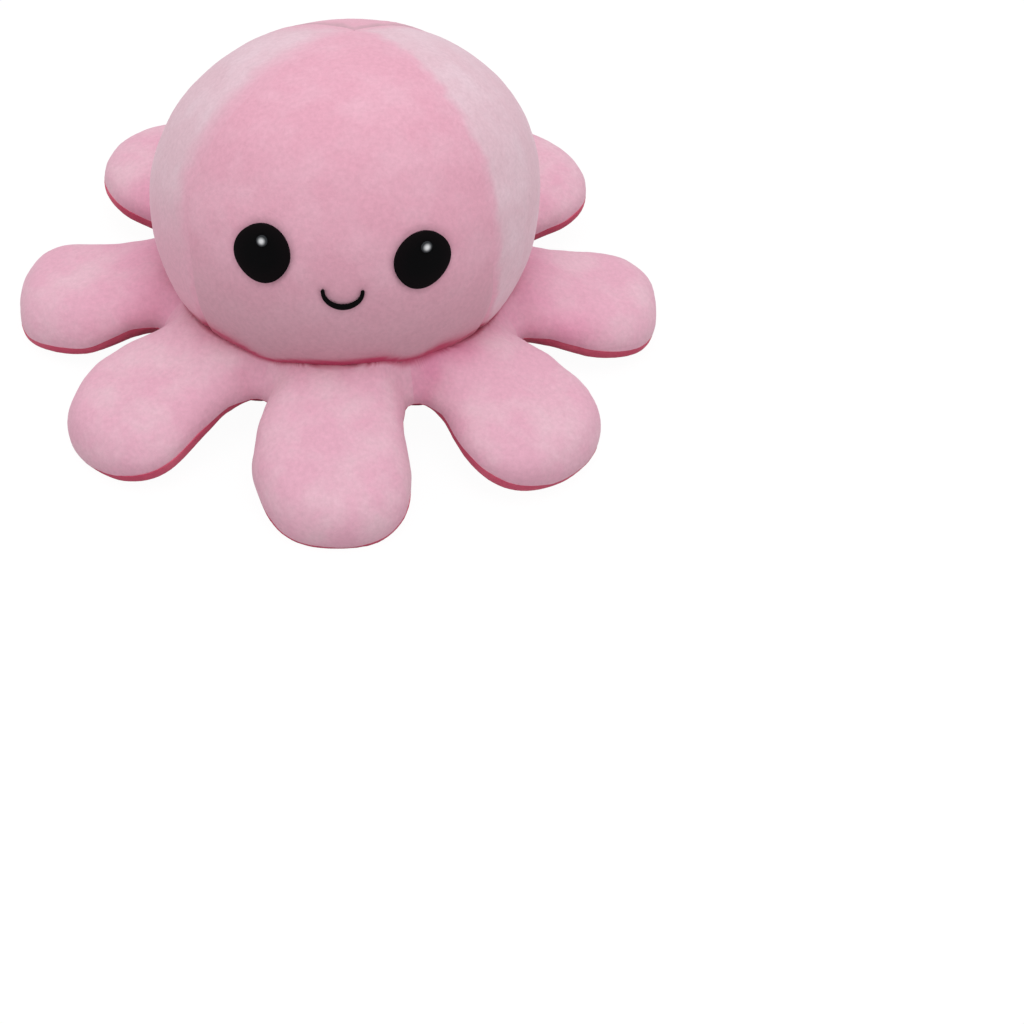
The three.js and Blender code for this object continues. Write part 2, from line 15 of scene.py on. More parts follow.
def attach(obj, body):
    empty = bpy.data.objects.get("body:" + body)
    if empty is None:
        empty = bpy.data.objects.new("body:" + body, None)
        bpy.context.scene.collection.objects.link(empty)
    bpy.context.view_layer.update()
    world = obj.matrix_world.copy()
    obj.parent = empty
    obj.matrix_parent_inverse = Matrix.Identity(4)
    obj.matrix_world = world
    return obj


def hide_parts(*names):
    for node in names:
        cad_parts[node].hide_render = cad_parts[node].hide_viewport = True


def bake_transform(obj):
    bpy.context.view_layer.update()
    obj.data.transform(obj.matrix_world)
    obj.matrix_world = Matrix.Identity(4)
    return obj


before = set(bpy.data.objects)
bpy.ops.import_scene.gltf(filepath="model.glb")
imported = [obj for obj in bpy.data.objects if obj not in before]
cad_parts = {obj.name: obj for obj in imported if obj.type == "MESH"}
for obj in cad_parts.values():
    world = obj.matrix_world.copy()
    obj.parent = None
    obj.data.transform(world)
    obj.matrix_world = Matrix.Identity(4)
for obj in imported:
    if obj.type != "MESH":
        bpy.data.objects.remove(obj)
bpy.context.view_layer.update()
mm = 0.001

# %% [markdown]
# ## Camera
# The picture was taken from about 39 degrees above the horizon, nearly straight in front of the face, with a
# long lens. The toy stands up and left of the middle of the picture, so the lens is shifted, as on a view
# camera: turning the camera instead would change the perspective.

# %% Camera
PICTURE = 1024
FOCAL_PIXELS = 2552.9
MIDDLE_X_PIXEL, MIDDLE_Y_PIXEL = 343.2, 271.4
CAMERA_UP, CAMERA_SIDE, CAMERA_ROLL = math.radians(39.12), math.radians(0.94), math.radians(-1.02)
CAMERA_DISTANCE = 771.9 * mm
CAMERA_TARGET = Vector((0, 0, 20.7 * mm))
SENSOR = 36.0

back = Vector((math.sin(CAMERA_SIDE) * math.cos(CAMERA_UP), -math.cos(CAMERA_SIDE) * math.cos(CAMERA_UP),
               math.sin(CAMERA_UP)))
right = Vector((math.cos(CAMERA_SIDE), math.sin(CAMERA_SIDE), 0))
up = back.cross(right)
rolled_right = right * math.cos(CAMERA_ROLL) - up * math.sin(CAMERA_ROLL)
rolled_up = right * math.sin(CAMERA_ROLL) + up * math.cos(CAMERA_ROLL)
bpy.ops.object.camera_add()
camera = bpy.context.object
camera.matrix_world = Matrix.Translation(CAMERA_TARGET + back * CAMERA_DISTANCE) @ Matrix(
    (rolled_right, rolled_up, back)).transposed().to_4x4()
camera.data.sensor_width = SENSOR
camera.data.lens = FOCAL_PIXELS / PICTURE * SENSOR
camera.data.shift_x = (PICTURE / 2 - MIDDLE_X_PIXEL) / PICTURE
camera.data.shift_y = (MIDDLE_Y_PIXEL - PICTURE / 2) / PICTURE
bpy.context.scene.camera = camera
print("camera:", round(camera.data.lens, 1), "mm lens,", round(CAMERA_DISTANCE, 3), "m from the toy")

# %% [markdown]
# ## Light and floor
# Pile cloth shows its colour best in broad soft light. A pale world fills the shadows, one large lamp above
# gives the head its shape, and the floor is white to the camera but still takes the toy's soft shadow.

# %% Shader helpers
def node(tree, kind, links=None, values=None, **settings):
    """Add one shader node. Links are its wired inputs, values its constant inputs by number or name, and
    settings its properties, or inputs whose name is one word."""
    made = tree.nodes.new(kind)
    for key, value in settings.items():
        if hasattr(made, key):
            setattr(made, key, value)
        else:
            made.inputs[key].default_value = value
    for socket, value in (values or {}).items():
        made.inputs[socket].default_value = value
    for socket, source in (links or {}).items():
        tree.links.new(source, made.inputs[socket])
    return made


def linear(hex_colour):
    """An sRGB hex colour as Blender's linear red, green, blue and alpha."""
    parts = [int(hex_colour[i:i + 2], 16) / 255 for i in (0, 2, 4)]
    return tuple(p / 12.92 if p <= 0.04045 else ((p + 0.055) / 1.055) ** 2.4 for p in parts) + (1.0,)


def empty_tree(owner):
    """Switch a material or world to nodes and clear them."""
    owner.use_nodes = True
    owner.node_tree.nodes.clear()
    return owner.node_tree


def straight_look(tree):
    """1 for what the camera sees, also by way of gloss or glass, and 0 for light on its way to the toy."""
    path = node(tree, "ShaderNodeLightPath")
    seen = node(tree, "ShaderNodeMath", {0: path.outputs["Is Camera Ray"], 1: path.outputs["Is Glossy Ray"]},
                operation="MAXIMUM")
    seen = node(tree, "ShaderNodeMath", {0: seen.outputs[0], 1: path.outputs["Is Transmission Ray"]},
                operation="MAXIMUM")
    return seen.outputs[0]


# %% World and lamp
SKY_STRENGTH = 0.84
LAMP_PLACE, LAMP_AIM = Vector((0.03, -0.1, 1.0)), Vector((0, 0, 0.04))
LAMP_WIDE, LAMP_WATTS = 0.8, 3.0
WHITE = (1, 1, 1, 1)

world = bpy.data.worlds.new("soft_room")
bpy.context.scene.world = world
sky = empty_tree(world)
soft = node(sky, "ShaderNodeBackground", Color=linear("f6f4f4"), Strength=SKY_STRENGTH)
white = node(sky, "ShaderNodeBackground", Color=WHITE, Strength=1.0)
mixed = node(sky, "ShaderNodeMixShader", {0: straight_look(sky), 1: soft.outputs[0], 2: white.outputs[0]})
node(sky, "ShaderNodeOutputWorld", {"Surface": mixed.outputs[0]})
bpy.context.scene.view_settings.view_transform = "Standard"

bpy.ops.object.light_add(type="AREA", location=LAMP_PLACE)
lamp = bpy.context.object
lamp.name = "key_lamp"
lamp.data.shape = "DISK"
lamp.data.size = LAMP_WIDE
lamp.data.energy = LAMP_WATTS
lamp.rotation_euler = (LAMP_AIM - LAMP_PLACE).to_track_quat("-Z", "Y").to_euler()
print("world and", lamp.name)

# %% Floor
FLOOR_WIDE, FLOOR_GLOW, FLOOR_GLOW_SHARE = 6, 1.07, 0.9

bpy.ops.mesh.primitive_plane_add(size=FLOOR_WIDE)
floor = bpy.context.object
floor.name = "floor"
paper = bpy.data.materials.new("white_paper")
tree = empty_tree(paper)
glowing = node(tree, "ShaderNodeMath", {0: straight_look(tree)}, {1: FLOOR_GLOW_SHARE}, operation="MULTIPLY")
matt = node(tree, "ShaderNodeBsdfDiffuse", Color=linear("c6c0c2"))
glow = node(tree, "ShaderNodeEmission", Color=WHITE, Strength=FLOOR_GLOW)
mixed = node(tree, "ShaderNodeMixShader", {0: glowing.outputs[0], 1: matt.outputs[0], 2: glow.outputs[0]})
node(tree, "ShaderNodeOutputMaterial", {"Surface": mixed.outputs[0]})
floor.data.materials.append(paper)
print("floor:", FLOOR_WIDE, "m wide")

# %% [markdown]
# ## The toy's measures
# These repeat the few driving sizes of the solids, in metres, so that each cloth lies on them. The tentacles
# are a little longer, because the pile stands out past the solids, and the notches a little deeper.

# %% Measures of the head and its pocket
HEAD_WIDE, HEAD_TALL, HEAD_MIDDLE, HEAD_SQUARE = 57.5 * mm, 49.8 * mm, 50.4 * mm, 2.22
NECK = 16.3 * mm
# The head leans back fully from this height up, and its top stands a little to the right
LEAN, LEAN_FULL, TOP_ASIDE = math.radians(18), 48 * mm, 1.7 * mm
POCKET_WIDE, POCKET_MOUTH, POCKET_SQUARE = 37 * mm, 35 * mm, 2.4
POCKET_WIDEST, POCKET_TOP = 40 * mm, 72 * mm
# Cloth and pile between the solids and the surface; then how thick each cloth's shell is modelled
CLOTH, PILE = 1.6 * mm, 1.2 * mm
GORE_SHELL, SKIRT_SHELL, LINING_SHELL, PATCH_SHELL = 1.2 * mm, 0.6 * mm, 1.0 * mm, 0.3 * mm
# Azimuth of the front seams, which swing: shares of the height, and left and right azimuth there in degrees
SEAM = math.radians(48)
FRONT_SEAMS = ([0, 0.2, 0.25, 0.35, 0.45, 0.6, 0.75, 0.88, 1],
               [-48, -48, -48, -49.5, -51, -48, -45, -38, -33],
               [53, 51.5, 49.5, 47.2, 46.2, 43.4, 42, 43, 46])
# Almost the zenith, so that no gore's last row is quite a point
CROWN_ANGLE = math.radians(89.9)

# %% Measures of the skirt and tentacles
TENTACLES = ["front", "front_right", "right", "back_right", "back", "back_left", "left", "front_left"]
COUNT = len(TENTACLES)
SECTOR = 2 * math.pi / COUNT
# Distances from the middle: hinge, bottom of a notch, tip; then the radii of notch and tip
HINGE, NOTCH, REACH = 62 * mm, 60.6 * mm, 101.1 * mm
NOTCH_ROUND, TIP_ROUND = 3.6 * mm, 22.6 * mm
# How high the stuffing lifts the cloth, and how square that swelling is
PILLOW, PILLOW_SQUARE = 8.25 * mm, 2.5
# Height of the middle surface between top and underside, and how much higher it is at the front
SKIRT, FRONT_LIFT, FRONT_POWER = 12.3 * mm, 5.2 * mm, 3
# Where the skirt comes out under the head, and how much it puffs up there
CREASE, PUFF = 45.5 * mm, 2.3 * mm
# How far the pale cloth is drawn down in the front notches, and the valley right of the front tentacle: its
# lift, the underside's share of that, its half width as an angle, and the distances over which it fades
NOTCH_ROLL = 2 * mm
VALLEY_LIFT, VALLEY_UNDER, VALLEY_WIDE, VALLEY_FADE = 3.6 * mm, 0.4, 0.16, (50 * mm, 57.5 * mm)
# The underside: rim of the pocket's mouth, the belly on the floor and its thin part under the notches
RIM, RIM_TALL = 37.5 * mm, 9 * mm
BELLY, BELLY_END = 40 * mm, 56 * mm
NOTCH_THICK, NOTCH_THIN_FROM = 1.1 * mm, math.radians(14)
# How far the columns of a sector's grid bow inwards beside the root
BOW = 2.5 * mm
# Where a notch's round is centred along and across a lobe, the root's half width, and the middle of the tip's
# round
NOTCH_ALONG, NOTCH_ACROSS = NOTCH * math.cos(SECTOR / 2), NOTCH * math.sin(SECTOR / 2)
ROOT_HALF = NOTCH_ACROSS - NOTCH_ROUND
TIP_MIDDLE = REACH - TIP_ROUND
# How steeply each tentacle slopes down from its hinge
PITCH = [math.radians(a) for a in (20.4, 16.34, 11.09, -4, 9.8, -4, 11.09, 16.34)]
print("head", round(2 * HEAD_WIDE / mm), "mm wide,", COUNT, "tentacles", round(2 * TIP_ROUND / mm), "mm wide")

# %% Shape helpers
# Points closer than this are welded, and edges sharper than this angle stay sharp
WELD, SHARP_ANGLE = 0.02 * mm, math.radians(55)


def smooth(x, low, high):
    """A soft step from 0 at low to 1 at high."""
    t = np.clip((x - low) / (high - low), 0, 1)
    return t * t * (3 - 2 * t)


def rounded(share, square):
    """Height of a superellipse's arch, 1 in its middle and 0 where share is 1."""
    return (1 - np.clip(np.abs(share), 0, 1) ** square) ** (1 / square)


def stack(x, y, z):
    """Points from their three coordinates."""
    x, y, z = np.broadcast_arrays(x, y, z)
    return np.stack([x, y, z], axis=-1)


def leaned(points):
    """The head leans back above the neck, by an angle that grows with height."""
    angle = LEAN * smooth(points[..., 2], NECK, LEAN_FULL)
    y, z = points[..., 1], points[..., 2] - HEAD_MIDDLE
    aside = TOP_ASIDE * smooth(points[..., 2], 45 * mm, 92 * mm)
    return stack(points[..., 0] + aside, y * np.cos(angle) + z * np.sin(angle),
                 z * np.cos(angle) - y * np.sin(angle) + HEAD_MIDDLE)


def around(azimuth, radius, height):
    """Azimuth 0 is the front, and the angle grows towards +X."""
    return stack(radius * np.sin(azimuth), -radius * np.cos(azimuth), height)


def lumps(points, size, seed=0.0):
    """Smooth random values from -1 to 1 that change over about the given size."""
    flat = points.reshape(-1, 3) / size + seed
    values = np.array([noise.noise(Vector(p)) for p in flat])
    return values.reshape(points.shape[:-1])


def grid_places(columns, rows):
    """Each grid point's u and v, in the order in which a grid keeps its points."""
    u, v = np.meshgrid(np.arange(columns + 1) / columns, np.arange(rows + 1) / rows)
    return u.ravel(), v.ravel()


def shaped_grid(name, columns, rows, place):
    """Add a grid and move each of its points to place(u, v), where u and v run from 0 to 1."""
    bpy.ops.object.select_all(action="DESELECT")
    bpy.ops.mesh.primitive_grid_add(x_subdivisions=columns, y_subdivisions=rows, size=2, calc_uvs=True)
    made = bpy.context.object
    made.name = name
    made.data.name = name
    flat = np.empty(len(made.data.vertices) * 3)
    made.data.vertices.foreach_get("co", flat)
    flat = flat.reshape(-1, 3)
    where = place((flat[:, 0] + 1) / 2, (flat[:, 1] + 1) / 2)
    made.data.vertices.foreach_set("co", where.reshape(-1).astype(np.float32))
    made.data.update()
    return made


def finished(made, thickness=None):
    """Weld what meets, give cloth its thickness and shade it smooth."""
    bpy.context.view_layer.objects.active = made
    bpy.ops.object.select_all(action="DESELECT")
    made.select_set(True)
    bpy.ops.object.mode_set(mode="EDIT")
    bpy.ops.mesh.select_all(action="SELECT")
    bpy.ops.mesh.remove_doubles(threshold=WELD)
    bpy.ops.object.mode_set(mode="OBJECT")
    if thickness:
        wall = made.modifiers.new("cloth", "SOLIDIFY")
        wall.thickness = thickness
        wall.offset = -1
        bpy.ops.object.modifier_apply(modifier=wall.name)
    bpy.ops.object.shade_smooth_by_angle(angle=SHARP_ANGLE)
    return made


def written(made, name, values):
    """Keep one number for each point of the mesh, for its material to read."""
    kept = made.data.attributes.new(name, "FLOAT", "POINT")
    kept.data.foreach_set("value", np.asarray(values, np.float32).ravel())


def written_plain(made):
    """Leave a cloth's colour as it is all over, with no painted sheen or shade."""
    for name in ("sheen_and_shade", "crease_shade"):
        written(made, name, np.zeros(len(made.data.vertices)))


def points_of(made):
    """All points of a mesh."""
    flat = np.empty(len(made.data.vertices) * 3)
    made.data.vertices.foreach_get("co", flat)
    return flat.reshape(-1, 3)


def fluffed(made, amounts_and_sizes, share=1.0):
    """Move each point along its normal by smooth random amounts, as stuffing and pile do."""
    where = points_of(made)
    normals = np.empty(len(made.data.vertices) * 3)
    made.data.vertex_normals.foreach_get("vector", normals)
    push = sum(amount * lumps(where, size, i * 7.3) for i, (amount, size) in enumerate(amounts_and_sizes))
    where = where + normals.reshape(-1, 3) * (push * share)[:, None]
    made.data.vertices.foreach_set("co", where.reshape(-1).astype(np.float32))
    made.data.update()
    return made


# %% [markdown]
# ## Pile cloth
# The cloth is velboa: polyester knit with a pile about 1.5 mm long. Its colour wanders in patches of a few
# millimetres where the nap was brushed another way. The pile scatters light at grazing angles, which the
# sheen gives, and its tufts make a fine grain about 0.7 mm across. Where the mesh says so, the colour takes
# painted sheen and shade: it turns towards a second colour, a painted sheen along the head's seams and
# painted shade low on the face and at the tentacles' roots, and it deepens into painted shade in a crease.

# %% Pile cloth
def pile_cloth(name, colour, ruffled, sheen_and_shade, painted_shade, sheen="f7dfe8"):
    """Velboa in five hex colours: as it lies, where it is ruffled, its painted sheen and shade, its painted
    crease shade, its sheen.
    Inputs 0, 6 and 7 of a colour mix are its share and colours; 1 to 4 of a map range are its four limits."""
    material = bpy.data.materials.new(name)
    tree = empty_tree(material)
    place = node(tree, "ShaderNodeTexCoord").outputs["Object"]
    patches = node(tree, "ShaderNodeTexNoise", {"Vector": place}, Scale=1 / (14 * mm), Detail=4.0,
                   Roughness=0.55)
    tufts = node(tree, "ShaderNodeTexNoise", {"Vector": place}, Scale=1 / (1.3 * mm), Detail=3.0,
                 Roughness=0.65)
    wisps = node(tree, "ShaderNodeTexNoise", {"Vector": place}, Scale=1 / (3 * mm), Detail=2.0, Roughness=0.5)
    ruffle = node(tree, "ShaderNodeMapRange", {0: patches.outputs["Fac"]}, {1: 0.42, 2: 0.68})
    mixed = node(tree, "ShaderNodeMix", {0: ruffle.outputs[0]}, {6: linear(colour), 7: linear(ruffled)},
                 data_type="RGBA")
    # Painted sheen and shade: the colour turns towards the third colour as far as the mesh says
    edge = node(tree, "ShaderNodeAttribute", attribute_name="sheen_and_shade")
    towards = node(tree, "ShaderNodeMix", {0: edge.outputs["Fac"], 6: mixed.outputs[2]},
                   {7: linear(sheen_and_shade)}, data_type="RGBA")
    # Painted shade: the colour deepens in the creases as far as the mesh says
    crease_shade = node(tree, "ShaderNodeAttribute", attribute_name="crease_shade")
    shade_painted_in = node(tree, "ShaderNodeMix", {0: crease_shade.outputs["Fac"], 6: towards.outputs[2]},
                    {7: linear(painted_shade)}, data_type="RGBA")
    grain = node(tree, "ShaderNodeMapRange", {0: tufts.outputs["Fac"]}, {1: 0.3, 2: 0.7, 3: 0.93, 4: 1.05})
    shaded = node(tree, "ShaderNodeMix", {6: shade_painted_in.outputs[2], 7: grain.outputs[0]}, {0: 1.0},
                  data_type="RGBA", blend_type="MULTIPLY")
    low = node(tree, "ShaderNodeBump", {"Height": wisps.outputs["Fac"]}, Strength=0.25, Distance=0.4 * mm)
    fine = node(tree, "ShaderNodeBump", {"Height": tufts.outputs["Fac"], "Normal": low.outputs[0]},
                Strength=0.3, Distance=0.3 * mm)
    pile = node(tree, "ShaderNodeBsdfPrincipled",
                {"Base Color": shaded.outputs[2], "Normal": fine.outputs[0]},
                {"Specular IOR Level": 0.15, "Sheen Weight": 0.42, "Sheen Roughness": 0.45,
                 "Sheen Tint": linear(sheen)}, Roughness=0.95)
    node(tree, "ShaderNodeOutputMaterial", {"Surface": pile.outputs[0]})
    return material


# The third colour of each cloth is its painted sheen and shade, the fourth its painted shade in a crease
face_cloth = pile_cloth("velboa_face", "e5aabe", "e8b4c6", "cba1ae", "b82a5a")
# The side gores are the same velboa as the face, painted lighter and greyer: painted sheen of pile that lies
# another way
side_sheen_cloth = pile_cloth("velboa_side_sheen", "e2c0cc", "e6cad5", "e5aec1", "b82a5a")
tentacle_cloth = pile_cloth("velboa_tentacle", "e6b0c4", "e8bfcd", "e38bb0", "b02552")
rose_cloth = pile_cloth("velboa_rose", "c8506c", "d8677f", "c8506c", "8c3048", "e8a0b0")
# The lining's side gores are the rose velboa, painted lighter and greyer with the same painted sheen
rose_side_sheen_cloth = pile_cloth("velboa_rose_side_sheen", "c8808f", "d5949f", "c86a7e", "8c3048", "e8a0b0")
print("cloths:", [material.name for material in bpy.data.materials if "velboa" in material.name])

# %% [markdown]
# ## Head
# Four gores of cloth run from the neck to the crown. Each is a grid bent onto the leaning dome. Beside a seam
# the cloth dips into the stitching, and round the eyes and the mouth the stitches press the pile down.

# %% Shape of the head and where its face is
# Each eye's azimuth, height, half height and tilt
EYES = [("left", math.radians(-22.3), 51.4 * mm, 8.1 * mm, math.radians(-10)),
        ("right", math.radians(23.15), 50.75 * mm, 7.85 * mm, math.radians(11))]
EYE_WIDE = 8.45 * mm
# The smile's azimuth and its corners' height; its half width, drop and thickness
SMILE_AZIMUTH, SMILE_CORNER = math.radians(0.9), 42.8 * mm
SMILE_WIDE, SMILE_DROP, STITCH = 5.5 * mm, 3.0 * mm, 1.15 * mm


def head_radius(height, off=0.0):
    """The head's radius at a height, off its solid's surface."""
    return (HEAD_WIDE + off) * rounded((height - HEAD_MIDDLE) / (HEAD_TALL + off), HEAD_SQUARE)


def dome(azimuth, angle, off):
    """A point of the head's outside: angle runs from the neck, below the middle, to the crown."""
    reach = (HEAD_WIDE + off) * np.cos(angle) ** (2 / HEAD_SQUARE)
    rise = np.sign(angle) * np.abs(np.sin(angle)) ** (2 / HEAD_SQUARE)
    return around(azimuth, reach, HEAD_MIDDLE + (HEAD_TALL + off) * rise)


def near_smile(across, height):
    """Distance to the middle line of the smile, measured on the cloth."""
    angle = np.clip(np.arctan2(-(height - SMILE_CORNER) / SMILE_DROP, across / SMILE_WIDE), 0, math.pi)
    return np.hypot(across - SMILE_WIDE * np.cos(angle), height - SMILE_CORNER + SMILE_DROP * np.sin(angle))


def pressed(azimuth, height):
    """How far the stitches of the face press the cloth round them, from 0 to 1."""
    press = np.zeros_like(azimuth)
    for _, middle, high, tall, _ in EYES:
        across = (azimuth - middle) * head_radius(high)
        reach = np.hypot(across / EYE_WIDE, (height - high) / tall)
        press = np.maximum(press, 1 - smooth(reach, 1.0, 1.28))
    across = (azimuth - SMILE_AZIMUTH) * head_radius(SMILE_CORNER)
    away = near_smile(across, height)
    return np.maximum(press, 1 - smooth(away, STITCH / 2, STITCH / 2 + 2 * mm))


def seam_at(azimuth, v):
    """The two front seams swing in towards the crown, as the nap shows in the picture."""
    rows, left, right = FRONT_SEAMS
    for side, where in ((-1, left), (1, right)):
        if abs(math.remainder(azimuth - side * SEAM, 2 * math.pi)) < 0.01:
            return azimuth + np.radians(np.interp(v, rows, where)) - side * SEAM
    return azimuth + 0 * v


GORES = [("face", -SEAM, SEAM), ("right_side", SEAM, math.pi - SEAM),
         ("back", math.pi - SEAM, math.pi + SEAM), ("left_side", math.pi + SEAM, 2 * math.pi - SEAM)]
NECK_ANGLE = -math.asin(((HEAD_MIDDLE - NECK) / HEAD_TALL) ** (HEAD_SQUARE / 2))


def gore_place(start, end, u, v):
    """A gore's azimuth, its angle up the dome, and the distance to its nearest seam."""
    first, last = seam_at(start, v), seam_at(end, v)
    azimuth = first + (last - first) * u
    angle = NECK_ANGLE + (CROWN_ANGLE - NECK_ANGLE) * v
    reach = HEAD_WIDE * np.cos(angle) ** (2 / HEAD_SQUARE)
    return azimuth, angle, np.minimum(azimuth - first, last - azimuth) * reach


# %% Head gores
GORE_COLUMNS, GORE_ROWS = 110, 120
# Half width of the dip along a seam, and the distances from the crown over which it fades
SEAM_DIP, DIP_FADE = 1.3 * mm, (2 * mm, 9 * mm)

for name, start, end in GORES:
    def on_gore(u, v, start=start, end=end):
        azimuth, angle, from_seam = gore_place(start, end, u, v)
        flat = dome(azimuth, angle, 0)
        # The seams are drawn in more towards the neck
        dip = 0.12 + 0.4 * smooth(-flat[:, 2], -60 * mm, -25 * mm)
        dip = dip * np.exp(-(from_seam / SEAM_DIP) ** 2)
        off = -dip * mm * smooth(np.hypot(flat[:, 0], flat[:, 1]), *DIP_FADE)
        # The stuffing leaves the shoulders a little flat
        shoulder = smooth(flat[:, 2], 55 * mm, 70 * mm) * (1 - smooth(flat[:, 2], 86 * mm, 98 * mm))
        off = off - 0.7 * mm * shoulder
        off = off + lumps(flat, 30 * mm) * 0.45 * mm + lumps(flat, 9 * mm, 3.1) * 0.2 * mm
        if start < 0:
            off = off - 0.55 * mm * pressed(azimuth, flat[:, 2])
        # The lowest edge turns in, under the bulge of the head
        off = off - 1.2 * mm * (1 - smooth(v, 0, 0.03))
        return leaned(dome(azimuth, angle, off))

    gore = shaped_grid(name + "_cloth", GORE_COLUMNS, GORE_ROWS, on_gore)
    u, v = grid_places(GORE_COLUMNS, GORE_ROWS)
    from_seam = gore_place(start, end, u, v)[2]
    fluffed(gore, [(0.07 * mm, 1.5 * mm)], smooth(from_seam, 0, 2 * mm))
    # Painted sheen: its colour turns towards the next gore's, the sheen of pile laid another way, in ragged
    # tufts along the seams and low on the left side; the face's turns only low down, as painted shade towards
    # the neck
    ragged = lumps(points_of(gore), 4 * mm, 5.0) * 2 * mm
    meets = 1 - smooth(from_seam + ragged, 0, (11 if name == "left_side" else 5) * mm)
    if name == "left_side":
        meets = np.maximum(meets, 0.85 * (1 - smooth(v, 0.24, 0.42)) * smooth(u, 0.35, 0.75))
    # The lower face is painted with shade
    if name == "face":
        meets = 0.9 * (1 - smooth(v, 0.1, 0.36))
    written(gore, "sheen_and_shade", meets)
    finished(gore, GORE_SHELL)
    gore.data.materials.append(side_sheen_cloth if "side" in name else face_cloth)
    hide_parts(name + "_panel")
    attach(gore, "body")
    print(name, len(gore.data.polygons), "faces")

# %% [markdown]
# ## Skirt and tentacles
# On the toy one star-shaped piece of pale cloth and one of rose cloth are sewn together round the edge and
# stuffed. Each tentacle bends with its own joint, so each cloth is made as eight sectors that meet in the
# valleys between the tentacles. A sector is a grid whose columns run out from the neck to the edge of the
# lobe. Its height swells from the seam like a pillow's, and it slopes down from the root to lie on the floor.

# %% Outline of one lobe
def lobe_outline():
    """Half of a lobe's edge in its own plan, from the bottom of the notch to the tip: along, across."""
    half = SECTOR / 2
    turn = np.linspace(math.pi + half, 1.5 * math.pi, 8)
    notch = np.stack([NOTCH_ALONG + NOTCH_ROUND * np.cos(turn), NOTCH_ACROSS + NOTCH_ROUND * np.sin(turn)], 1)
    ahead = TIP_MIDDLE - HINGE
    touch = math.pi - math.atan2(ROOT_HALF, ahead) - math.acos(TIP_ROUND / math.hypot(ahead, ROOT_HALF))
    swing = np.linspace(touch, 0, 40)
    tip = np.stack([TIP_MIDDLE + TIP_ROUND * np.cos(swing), TIP_ROUND * np.sin(swing)], 1)
    root = np.array([[HINGE, ROOT_HALF]])
    return np.concatenate([notch, root, tip])


OUTLINE = lobe_outline()
STEPS = np.concatenate([[0], np.cumsum(np.hypot(*np.diff(OUTLINE, axis=0).T))])
print("lobe outline:", len(OUTLINE), "points,", round(2 * STEPS[-1] / mm), "mm round")


def edge_point(u):
    """The edge at u from -1 to 1, the lobe's left and right notches; 0 is its tip."""
    # The columns lie a little closer at the tip
    share = np.abs(u) ** 1.15
    length = (1 - share) * STEPS[-1]
    return (np.interp(length, STEPS, OUTLINE[:, 0]), np.sign(u) * np.interp(length, STEPS, OUTLINE[:, 1]))


def from_edge(along, across):
    """Shortest distance from points of the plan to the lobe's edge."""
    points = np.stack([along, np.abs(across)], -1)[:, None, :]
    start, end = OUTLINE[:-1], OUTLINE[1:]
    line = end - start
    share = np.clip(((points - start) * line).sum(-1) / (line ** 2).sum(-1), 0, 1)
    near = start + share[..., None] * line
    return np.sqrt(((points - near) ** 2).sum(-1)).min(-1)


# %% How each lobe lies
# Each row is one lobe as it lies in the picture, lengths in mm: its extra length, width as a share, shift
# sideways, squareness of the tip and how much more of it is on one side, how far its seam is rolled under and
# how much less of that is on one side, and near the root how much narrower it is, as a share, and its shift
LIE = {"front": (-0.2, 0.955, 0.6, 0.06, 0, 3.0, 0, -0.04, -1.9),
       "front_right": (-3.3, 1.075, 0, 0.05, 0, 1.8, -1.1, 0, 0.9),
       "right": (-4.6, 0.95, 2.3, 0.08, 0, 1.2, 0, 0, -1.6),
       "back_right": (-3.4, 1.1, 2.6, 0.04, 0, 0.5, 0, 0, 0),
       "back": (0, 1.07, 0, 0.02, 0, 0, 0, 0, 0),
       "back_left": (-1.6, 1.0, 0.4, 0.02, 0, 0.5, 0, 0, 0),
       "left": (-1.3, 1.0, -0.9, 0.07, 0, 3.0, 0, 0.02, 3.0),
       "front_left": (-0.9, 1.02, -2.5, 0.05, 0, 2.7, 0.9, 0.02, -1.4)}


def lying(k, along, across):
    """Move plan points of lobe k as this toy's stuffing and sewing have moved them."""
    longer, width, aside, square, skew, _, _, waist, root_aside = LIE[TENTACLES[k]]
    root = smooth(along, NOTCH_ALONG - 4 * mm, HINGE + 6 * mm) * (1 - smooth(along, 74 * mm, 94 * mm))
    across = across * (1 - waist * root) + root_aside * mm * root
    ahead, away = along - TIP_MIDDLE, across
    turn = np.arctan2(away, ahead)
    bulge = 1 + square * (1 + skew * np.sign(away)) * np.sin(2 * turn) ** 2 * (ahead > 0)
    along = TIP_MIDDLE + ahead * bulge + longer * mm * smooth(along, HINGE, REACH)
    share = smooth(along, NOTCH_ALONG, HINGE + 14 * mm)
    return along, away * bulge * (1 + (width - 1) * share) + aside * mm * share


# %% Height of a lobe
# How far from its edge a lobe's cloth is rolled under
ROLL_WIDE = 9 * mm


def middle_height(azimuth):
    """Height of the surface between the skirt's top and its underside."""
    return SKIRT + FRONT_LIFT * ((1 + np.cos(azimuth)) / 2) ** FRONT_POWER


def root_matrix(k):
    """Where tentacle k hinges, sloped as the skirt is there."""
    azimuth = k * SECTOR
    slope = (middle_height(azimuth + SECTOR / 2) - middle_height(azimuth - SECTOR / 2)) / (2 * ROOT_HALF)
    place = Matrix.Translation(Vector(around(np.float64(azimuth), HINGE, middle_height(azimuth))))
    return np.array(place @ Matrix.Rotation(azimuth - math.pi / 2, 4, "Z")
                    @ Matrix.Rotation(math.atan(slope), 4, "X") @ Matrix.Rotation(PITCH[k], 4, "Y"))


